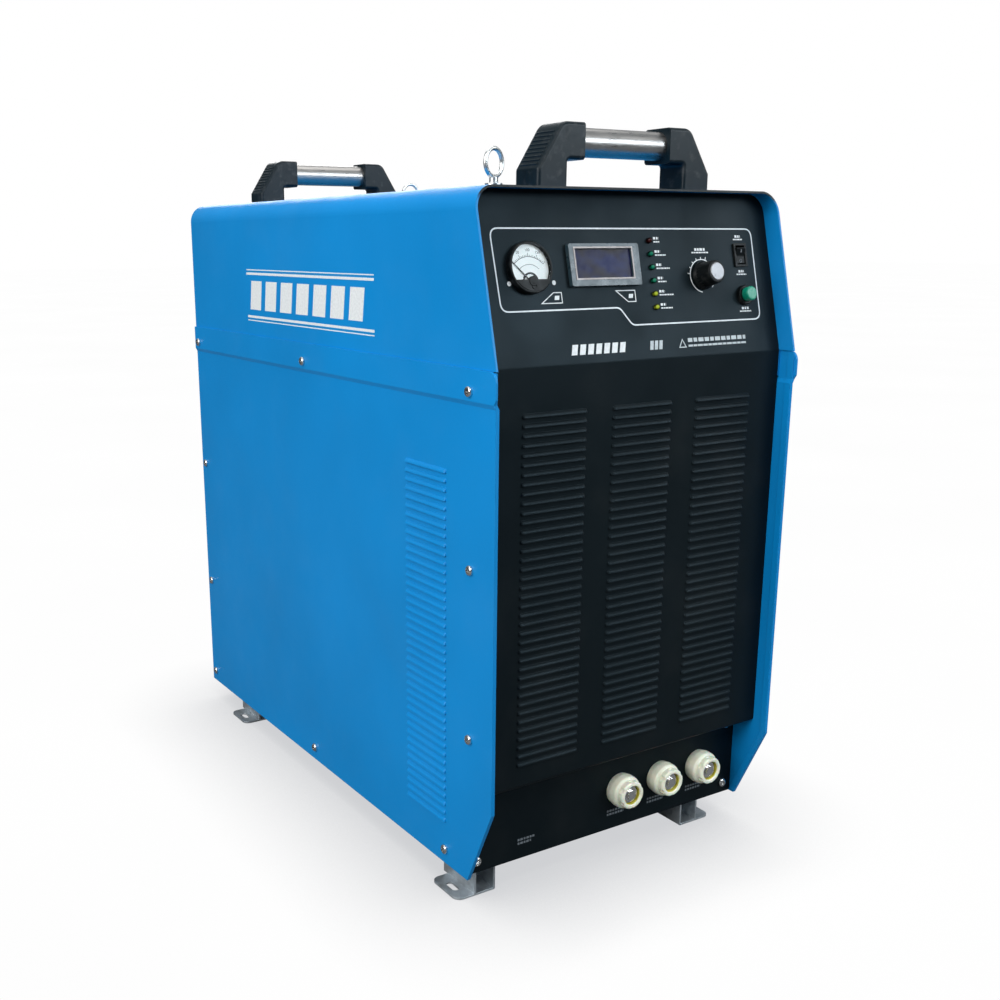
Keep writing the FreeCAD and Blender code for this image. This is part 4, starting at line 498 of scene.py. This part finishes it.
def metals():
    """Bare and plated metals, with the nodes made of them."""
    bright = bare_metal("bright_plate", (0.8, 0.79, 0.77), 0.16, tarnish=0.15)
    grip = bare_metal("polished_grip", (0.42, 0.4, 0.38), 0.33, stretch=(0.15, 1, 1), grain=1.2 * MM,
                      tarnish=0.1)
    eye = bare_metal("eye_steel", (0.78, 0.79, 0.77), 0.3, tarnish=0.3)
    spun = bare_metal("spun_aluminium", (0.3, 0.3, 0.31), 0.45, grain=0.3 * MM, tarnish=0.2)
    extruded = bare_metal("extruded_aluminium", (0.6, 0.61, 0.62), 0.4, stretch=(1, 0.1, 1))
    laminated = bare_metal("dark_core", (0.12, 0.12, 0.13), 0.6, stretch=(1, 1, 8))
    return {
        galvanised("zinc_sheet"): ["base_pan", "mid_shelf", "upper_frame_rails", "foot_brackets",
                                   "fan_guards"],
        bright: ["side_screws", "terminal_panel_screws", "foot_bolts_and_nuts", "handle_bolts",
                 "fan_screws", "terminal_studs", "terminal_nuts"],
        grip: ["handle_grip_tubes"],
        eye: ["lifting_eyes_and_nuts"],
        spun: ["knob_cap", "control_shaft"],
        bare_metal("turned_brass", (0.72, 0.52, 0.2), 0.3): ["earth_stud", "gas_inlet_fitting"],
        bare_metal("copper_bar", (0.7, 0.33, 0.18), 0.35): ["output_busbars"],
        extruded: ["heat_sinks"],
        laminated: ["transformer_core", "reactor_core"],
    }


def plastics():
    """Moulded, printed and wound parts."""
    handle = moulded("handle_plastic", (0.003, 0.009, 0.013), 0.35, grain=0.8 * MM, depth=0.05 * MM,
                     shine=0.22)
    black = moulded("black_moulding", (0.004, 0.0055, 0.006), 0.34, shine=0.13)
    cream = moulded("cream_moulding", (0.93, 0.94, 0.75), 0.25, grain=1.2 * MM, soft=0.2, edge=0.6 * MM)
    # The dial card glows a little: painted light that brightens it.
    dial = moulded("dial_card", (1.0, 1.0, 1.0), 0.5, grain=0.3 * MM, depth=0.005 * MM, glow=0.16)
    return {
        handle: ["handle_ends"],
        black: ["ammeter_case", "current_knob", "rocker_paddle", "rocker_housing", "button_housing",
                "cable_gland", "potentiometer_and_nut", "ammeter_zero_screw", "fan_frames",
                "lower_fan_rotor", "upper_fan_rotor", "gas_hose", "solenoid_valve"],
        cream: ["terminal_insulators"],
        dial: ["ammeter_dial"],
        moulded("display_moulding", (0.022, 0.044, 0.056), 0.3): ["display_case"],
        moulded("dark_grey_moulding", (0.05, 0.05, 0.055), 0.42):
            ["breaker_body", "breaker_lever", "power_modules"],
        moulded("green_button", (0.002, 0.24, 0.145), 0.3): ["button_cap"],
        moulded("capacitor_sleeve", (0.02, 0.03, 0.09), 0.35): ["bus_capacitors"],
        moulded("board_resist", (0.01, 0.12, 0.05), 0.35): ["control_board"],
        printed("needle_paint", (0.012, 0.012, 0.014), 0.45): ["ammeter_needle"],
        wound_tape("coil_tape"): ["transformer_coil", "reactor_coil", "ignition_coil"],
    }


def windows_and_lamps():
    """The clear and the tinted window, and the lamps, of which the red one is off."""
    return {
        clear_sheet("clear_window"): ["ammeter_window"],
        tinted_screen("display_screen"): ["display_window"],
        lens("red_lens", (0.035, 0.004, 0.004), glow=0.0): ["red_lamp"],
        lens("green_lens", (0.004, 0.14, 0.08), glow=0.25): ["green_lamps"],
        lens("yellow_lens", (0.27, 0.33, 0.02), glow=0.45): ["yellow_lamps"],
    }


def dress_cad_parts():
    """Give every CAD node its finished material."""
    for finishes in (coats(), metals(), plastics(), windows_and_lamps()):
        for finish, names in finishes.items():
            for name in names:
                mesh = frame["nodes"][name].data
                mesh.materials.clear()
                mesh.materials.append(finish)


def inks_and_trims():
    """Materials of the printed marks and the small added parts."""
    return {
        "white": printed("white_ink", (0.78, 0.81, 0.82)),
        "silver": printed("silver_ink", (0.68, 0.73, 0.76), 0.35),
        "pale": printed("pale_ink", (0.5, 0.55, 0.57)),
        "grey": printed("grey_ink", (0.16, 0.18, 0.2)),
        "black": printed("black_ink", (0.015, 0.015, 0.017)),
        "trim": moulded("screen_trim", (0.3, 0.26, 0.25), 0.3),
        # Painted shade for the insulators' recesses.
        "yellow": moulded("painted_recess_shade", (0.6, 0.53, 0.06), 0.35),
    }


# --------------------------------------------------------------------------------------------
# Printed and small parts of the control face
# --------------------------------------------------------------------------------------------
def in_metres(points):
    """Turn (across, up) pairs in millimetres into metres."""
    return [(across * MM, up * MM) for across, up in points]


def fascia_border(inks):
    """The silver line round the controls, stepped at its lower edge."""
    left, right, low, step, high = -152, 152, 31, 47, 117
    corners = [(left, high), (left + 2, step), (-22, step), (-9, low), (right, low), (right, high)]
    line_width, corner_radius = 1.25 * MM, 8 * MM
    builder = bmesh.new()
    path = rounded_path(in_metres(corners), corner_radius)
    add_ribbon(builder, FASCIA, path, line_width, -INK, INK, closed=True)
    piece_from("fascia_border_line", builder, inks["silver"], ROOT)


def bar_row(builder, face, left, top, width, height, rhythm):
    """A row of short bars that stands where the original has small print."""
    space = height * 0.45
    at, step = left, 0
    while at < left + width:
        length = rhythm[step % len(rhythm)]
        end = min(at + length, left + width)
        add_plate(builder, face, block(at, top - height, end, top), -INK, INK)
        at = end + space
        step += 1


def fascia_labels(inks):
    """Two rows of bars beside each lamp, above the knob and round the switches; dots by the meter."""
    large, small = 2.2 * MM, 1.2 * MM
    rhythm = (2.6 * MM, 1.8 * MM, 3.2 * MM)
    builder = bmesh.new()
    beside_lamp = LAMP_ACROSS + 6 * MM
    for index, lower_width in enumerate((14, 17, 10, 16, 13, 7)):
        middle = LAMP_LOW + index * LAMP_PITCH
        bar_row(builder, FASCIA, beside_lamp, middle + 3.4 * MM, 6.5 * MM, large, rhythm)
        bar_row(builder, FASCIA, beside_lamp, middle - 0.3 * MM, lower_width * MM, small, rhythm)
    labels = ((KNOB[0], 99, 13, 21), (SWITCH_ACROSS, 111, 7, 12), (SWITCH_ACROSS, 78, 7, 13),
              (SWITCH_ACROSS, 43, 9, 15))
    for across, top, upper_width, lower_width in labels:
        for width, drop, height in ((upper_width, 0, 2.3 * MM), (lower_width, 3.4, small)):
            left = across - width * MM / 2
            bar_row(builder, FASCIA, left, (top - drop) * MM, width * MM, height, rhythm)
    for beside_meter in (-21.2 * MM, 25.9 * MM):
        dot = disc((METER_PIVOT[0] + beside_meter, 70.5 * MM), 2 * MM)
        add_plate(builder, FASCIA, dot, -INK, INK)
    piece_from("fascia_label_marks", builder, inks["white"], ROOT)


def pointer_tags(inks):
    """Two outlined tags with one slanted corner, below the meter and the display."""
    left_tag = [(-107, 53), (-85, 53), (-85, 62), (-93.5, 62)]
    right_tag = [(-24, 62), (-2, 62), (-2, 52), (-11, 52)]
    builder = bmesh.new()
    for tag, (across, up) in ((left_tag, (-91.5, 57.5)), (right_tag, (-8.5, 57))):
        add_ribbon(builder, FASCIA, in_metres(tag), 0.8 * MM, -INK, INK, closed=True)
        mark = block(across - 1.6, up - 1.8, across + 3.2, up + 1.8, slant=0.8)
        add_plate(builder, FASCIA, in_metres(mark), -INK, INK)
    piece_from("fascia_pointer_tags", builder, inks["white"], ROOT)


def add_slanted_bars(builder, count, left, pitch, width, low, high, slant):
    """A row of equal slanted bars on the control face, sizes in millimetres."""
    for index in range(count):
        start = left + pitch * index
        bar = block(start, low, start + width, high, slant)
        add_plate(builder, FASCIA, in_metres(bar), -INK, INK)


def headline_bars(inks):
    """Slanted bars in the band below the border, where the original carries its name."""
    builder = bmesh.new()
    add_slanted_bars(builder, count=7, left=-82, pitch=9, width=6.2, low=7.5, high=16.5, slant=2.2)
    piece_from("fascia_slanted_bars", builder, inks["white"], ROOT)


def small_headline_bars(inks):
    """Three small slanted bars, a triangle and two rows of bars, to the right of the headline."""
    builder = bmesh.new()
    add_slanted_bars(builder, count=3, left=8, pitch=5.4, width=3.8, low=8, high=16, slant=1.5)
    triangle = in_metres([(44, 8.5), (52, 8.5), (48, 15.5)])
    add_ribbon(builder, FASCIA, triangle, 0.9 * MM, -INK, INK, closed=True)
    left, width = 55 * MM, 74 * MM
    rhythm = (5.5 * MM, 4.4 * MM, 6.4 * MM)
    bar_row(builder, FASCIA, left, 16.5 * MM, width, 3.6 * MM, rhythm)
    bar_row(builder, FASCIA, left, 10.4 * MM, width, 1.8 * MM, rhythm)
    piece_from("fascia_small_bars", builder, inks["pale"], ROOT)


def spoke(centre, angle, inner, outer):
    """The two ends of a line that points away from a centre, at an angle in degrees."""
    turn = math.radians(angle)
    along = Vector((math.cos(turn), math.sin(turn)))
    return [tuple(Vector(centre) + along * reach) for reach in (inner, outer)]


def knob_scale(inks):
    """Printed arc and graduations round the knob; every fifth graduation is longer."""
    radius, ticks = 15.2 * MM, 9
    builder = bmesh.new()
    add_ribbon(builder, FASCIA, arc(KNOB, radius, -45, 262, 56), 0.9 * MM, -INK, INK)
    for index in range(ticks):
        angle = 172 - 164 * index / (ticks - 1)
        length = 3.2 * MM if index % 5 == 0 else 2.2 * MM
        tick = spoke(KNOB, angle, radius + 0.2 * MM, radius + length)
        add_ribbon(builder, FASCIA, tick, 0.8 * MM, -INK, INK)
    piece_from("knob_scale", builder, inks["white"], ROOT)


def knob_pointer(inks):
    """Grey line on the knob's metal cap; at rest it points down to the left."""
    top = crown("knob_cap", FASCIA)
    builder = bmesh.new()
    line = spoke(KNOB, 225, 4 * MM, 7 * MM)
    add_ribbon(builder, FASCIA, line, 0.8 * MM, top - 0.3 * MM, top + INK)
    piece_from("knob_pointer_line", builder, inks["grey"], "current_control")


def meter_lines(inks):
    """Two arcs on the ammeter's dial, the outer one graduated."""
    card = crown("ammeter_dial", FASCIA)
    lift, top = card - 0.05 * MM, card + INK
    ticks = 21
    builder = bmesh.new()
    end = METER_START - METER_SWEEP
    add_ribbon(builder, FASCIA, arc(METER_PIVOT, METER_RADIUS, end, METER_START, 40), 0.45 * MM, lift, top)
    inner_arc = arc(METER_PIVOT, METER_RADIUS - 6.5 * MM, end + 3, METER_START - 3, 30)
    add_ribbon(builder, FASCIA, inner_arc, 0.35 * MM, lift, top)
    for index in range(ticks):
        angle = METER_START - METER_SWEEP * index / (ticks - 1)
        length = 3.2 * MM if index % 5 == 0 else 1.7 * MM
        tick = spoke(METER_PIVOT, angle, METER_RADIUS + 0.1 * MM, METER_RADIUS + length)
        add_ribbon(builder, FASCIA, tick, 0.4 * MM, lift, top)
    piece_from("meter_scale_lines", builder, inks["black"], ROOT)


def meter_numbers(inks):
    """The numbers at the quarters of the scale, without its two ends."""
    texts = []
    for quarter in range(1, 4):
        angle = math.radians(METER_START - METER_SWEEP * quarter / 4)
        reach = METER_RADIUS + 5.6 * MM
        spot = Vector(METER_PIVOT) + Vector((math.cos(angle), math.sin(angle))) * reach
        texts.append((str(50 * quarter), spot.x, spot.y))
    card = crown("ammeter_dial", FASCIA)
    figures("meter_scale_numbers", FASCIA, texts, 3.6 * MM, card, inks["black"], ROOT)


def meter_arch(inks):
    """The black arch over the needle's pivot."""
    card = crown("ammeter_dial", FASCIA)
    builder = bmesh.new()
    path = arc(METER_PIVOT, 7.6 * MM, 8, 172, 24)
    add_ribbon(builder, FASCIA, path, 1.6 * MM, card, card + 0.5 * MM)
    piece_from("meter_pivot_arch", builder, inks["black"], ROOT)


def display_details(inks):
    """Pale trim round the display window."""
    top = crown("display_case", FASCIA)
    offsets = [Vector(vertex.co) - FASCIA.origin for vertex in frame["nodes"]["display_window"].data.vertices]
    across = [offset.dot(FASCIA.across) for offset in offsets]
    up = [offset.dot(FASCIA.up) for offset in offsets]
    margin = 0.9 * MM
    builder = bmesh.new()
    corners = block(min(across) - margin, min(up) - margin, max(across) + margin, max(up) + margin)
    add_ribbon(builder, FASCIA, corners, 1.5 * MM, top - 0.5 * MM, top + 0.35 * MM, closed=True)
    piece_from("display_trim", builder, inks["trim"], ROOT)


def switch_marks(inks):
    """On and off marks of the rocker."""
    pivot = JOINTS["rocker_tip"]
    low, high = pivot["range_deg"]
    tilt = Matrix.Rotation(math.radians((high - low) / 2), 3, "X")
    paddle = Face(pivot["pos_m"], X_AXIS, tilt @ FASCIA.up)
    inside = 3 * MM
    builder = bmesh.new()
    stroke = in_metres(block(-0.4, 3.2, 0.4, 6.2))
    add_plate(builder, paddle, stroke, inside, 4.45 * MM)
    circle = disc((0, -4.8 * MM), 1.3 * MM, 18)
    add_ribbon(builder, paddle, circle, 0.45 * MM, inside, 4.35 * MM, closed=True)
    piece_from("rocker_marks", builder, inks["grey"], "rocker")


# --------------------------------------------------------------------------------------------
# Decals and marks on the case
# --------------------------------------------------------------------------------------------
def side_decal(name, face, sign, inks):
    """Pairs of white lines with a row of slanted blocks between them, on the hood."""
    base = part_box("top_hood")[0].z + 46 * MM
    left, right = sorted((sign * (FRONT + 201 * MM), sign * (FRONT + 499 * MM)))
    builder = bmesh.new()
    thick, thin = 2.6 * MM, 1.1 * MM
    for height, width in ((0, thick), (-4.2 * MM, thin), (48 * MM, thick), (52.2 * MM, thin)):
        line = block(left, base + height - width / 2, right, base + height + width / 2)
        add_plate(builder, face, line, -INK, INK)
    count, filled, slant = 7, 0.72, 5 * MM
    low, high = base + 8 * MM, base + 40 * MM
    pitch = (right - left - 20 * MM) / count
    for index in range(count):
        start = left + 8 * MM + index * pitch
        add_plate(builder, face, block(start, low, start + pitch * filled, high, slant), -INK, INK)
    piece_from(name, builder, inks["white"], ROOT)


def stud_places():
    """Where the three output studs stand, across and up."""
    studs = [mount for mount in frame["record"]["mounts"] if mount["name"].endswith("output_stud")]
    return [(stud["pos_m"][0], stud["pos_m"][2]) for stud in studs]


def terminal_marks(inks):
    """Two rows of bars under each terminal and at the left of the panel."""
    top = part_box("terminal_panel")[0].z + 21 * MM
    height, row_pitch = 2.2 * MM, 3.8 * MM
    rhythm = (2.2 * MM, 3.0 * MM)
    blocks = [(-112 * MM, (20 * MM, 16 * MM))]
    blocks += [(across - 15 * MM, (26 * MM, 22 * MM)) for across, up in stud_places()]
    builder = bmesh.new()
    for left, widths in blocks:
        for row, width in enumerate(widths):
            bar_row(builder, TERMINAL_FACE, left, top - row * row_pitch, width, height, rhythm)
    piece_from("terminal_marks", builder, inks["grey"], ROOT)


def recess_shade_rings(inks):
    """Yellow rings inside the three terminal insulators: painted shade on the walls of their recesses."""
    inner, outer, steps = 9.5 * MM, 9.95 * MM, 40
    face = crown("terminal_insulators", TERMINAL_FACE)
    deep, shallow = face - 10.5 * MM, face - 1.5 * MM
    builder = bmesh.new()
    for centre in stud_places():
        ring = disc(centre, (inner + outer) / 2, steps)
        add_ribbon(builder, TERMINAL_FACE, ring, outer - inner, deep, shallow, closed=True)
    piece_from("terminal_recess_painted_shade", builder, inks["yellow"], ROOT)


# --------------------------------------------------------------------------------------------
# Stage, light and camera
# --------------------------------------------------------------------------------------------
def floor():
    """A wide flat floor under the feet."""
    mesh = bpy.data.meshes.new("floor")
    builder = bmesh.new()
    reach = 30.0
    builder.faces.new([builder.verts.new((x, y, 0)) for x, y in block(-reach, -reach, reach, reach)])
    builder.to_mesh(mesh)
    builder.free()
    mesh.materials.append(floor_surface("pale_floor"))
    made = bpy.data.objects.new("floor", mesh)
    bpy.context.scene.collection.objects.link(made)


def soft_light(name, position, target, width, height, power, colour=(1, 1, 1)):
    """A rectangular soft box aimed at a target."""
    data = bpy.data.lights.new(name, "AREA")
    data.shape = "RECTANGLE"
    data.size = width
    data.size_y = height
    data.energy = power
    data.color = colour
    made = bpy.data.objects.new(name, data)
    made.location = position
    made.rotation_euler = (Vector(target) - Vector(position)).to_track_quat("-Z", "Y").to_euler()
    bpy.context.scene.collection.objects.link(made)


def surroundings():
    """White studio: the camera sees white, the unit sees a room that is bright above and dark below."""
    world = bpy.data.worlds.new("studio")
    bpy.context.scene.world = world
    world.use_nodes = True
    tree = world.node_tree
    room = tree.nodes["Background"]
    where = tree.nodes.new("ShaderNodeTexCoord")
    split = tree.nodes.new("ShaderNodeSeparateXYZ")
    tree.links.new(where.outputs["Generated"], split.inputs[0])
    height = tree.nodes.new("ShaderNodeMapRange")
    for key, value in (("From Min", -0.1), ("From Max", 0.7), ("To Min", 0.04), ("To Max", 0.42)):
        height.inputs[key].default_value = value
    tree.links.new(split.outputs["Z"], height.inputs["Value"])
    room.inputs["Color"].default_value = (0.84, 0.93, 1.0, 1)
    tree.links.new(height.outputs["Result"], room.inputs["Strength"])
    white = tree.nodes.new("ShaderNodeBackground")
    white.inputs["Color"].default_value = (1, 1, 1, 1)
    white.inputs["Strength"].default_value = 1.0
    path = tree.nodes.new("ShaderNodeLightPath")
    chosen = tree.nodes.new("ShaderNodeMixShader")
    tree.links.new(path.outputs["Is Camera Ray"], chosen.inputs[0])
    tree.links.new(room.outputs[0], chosen.inputs[1])
    tree.links.new(white.outputs[0], chosen.inputs[2])
    output = next(item for item in tree.nodes if item.type == "OUTPUT_WORLD")
    tree.links.new(chosen.outputs[0], output.inputs["Surface"])


def lights():
    """Soft boxes: a key on the blue side, two for the front, one above, one on the right, one behind."""
    middle = (CAD_BOX[0] + CAD_BOX[1]) / 2
    cool = (0.82, 0.92, 1.0)
    soft_light("key_light", (-2.4, FRONT - 0.3, 1.5), middle, 1.8, 1.8, power=68)
    soft_light("front_light", (1.5, FRONT - 2.2, 1.35), (0, FRONT, 0.6), 1.6, 0.7, power=38, colour=cool)
    soft_light("high_front_light", (-0.3, FRONT - 1.6, 2.3), (0, FRONT, 0.5), 1.2, 0.8, power=18)
    soft_light("top_light", (0.2, FRONT + 0.6, 2.6), middle, 2.0, 2.0, power=22)
    soft_light("right_light", (2.4, FRONT - 0.6, 1.6), middle, 1.2, 1.6, power=12)
    soft_light("back_light", (1.2, 2.6, 1.5), middle, 1.6, 1.2, power=30)


def camera():
    """Eye just below the roof, to the left of the front; the shifts put the unit off centre."""
    eye = (-0.7277, FRONT - 0.7861, 0.6046)
    azimuth, pitch, roll = math.radians(31.53), math.radians(14.32), math.radians(-0.23)
    data = bpy.data.cameras.new("camera")
    data.sensor_width = 36
    data.lens = 42.4
    data.shift_x = 0.077
    data.shift_y = 0.044
    made = bpy.data.objects.new("camera", data)
    level = Vector((math.sin(azimuth), math.cos(azimuth), 0))
    forward = level * math.cos(pitch) - Z_AXIS * math.sin(pitch)
    aimed = forward.to_track_quat("-Z", "Y").to_matrix().to_4x4()
    made.matrix_world = Matrix.Translation(eye) @ aimed @ Matrix.Rotation(roll, 4, "Z")
    bpy.context.scene.collection.objects.link(made)
    bpy.context.scene.camera = made


def build():
    """Dress the CAD parts, add the pieces, then set the stage."""
    dress_cad_parts()
    inks = inks_and_trims()
    fascia_border(inks)
    fascia_labels(inks)
    pointer_tags(inks)
    headline_bars(inks)
    small_headline_bars(inks)
    knob_scale(inks)
    knob_pointer(inks)
    meter_lines(inks)
    meter_numbers(inks)
    meter_arch(inks)
    display_details(inks)
    switch_marks(inks)
    side_decal("left_decal", LEFT_SIDE, -1, inks)
    side_decal("right_decal", RIGHT_SIDE, 1, inks)
    terminal_marks(inks)
    recess_shade_rings(inks)
    floor()
    surroundings()
    lights()
    camera()
    bpy.context.scene.view_settings.view_transform = "Standard"


build()
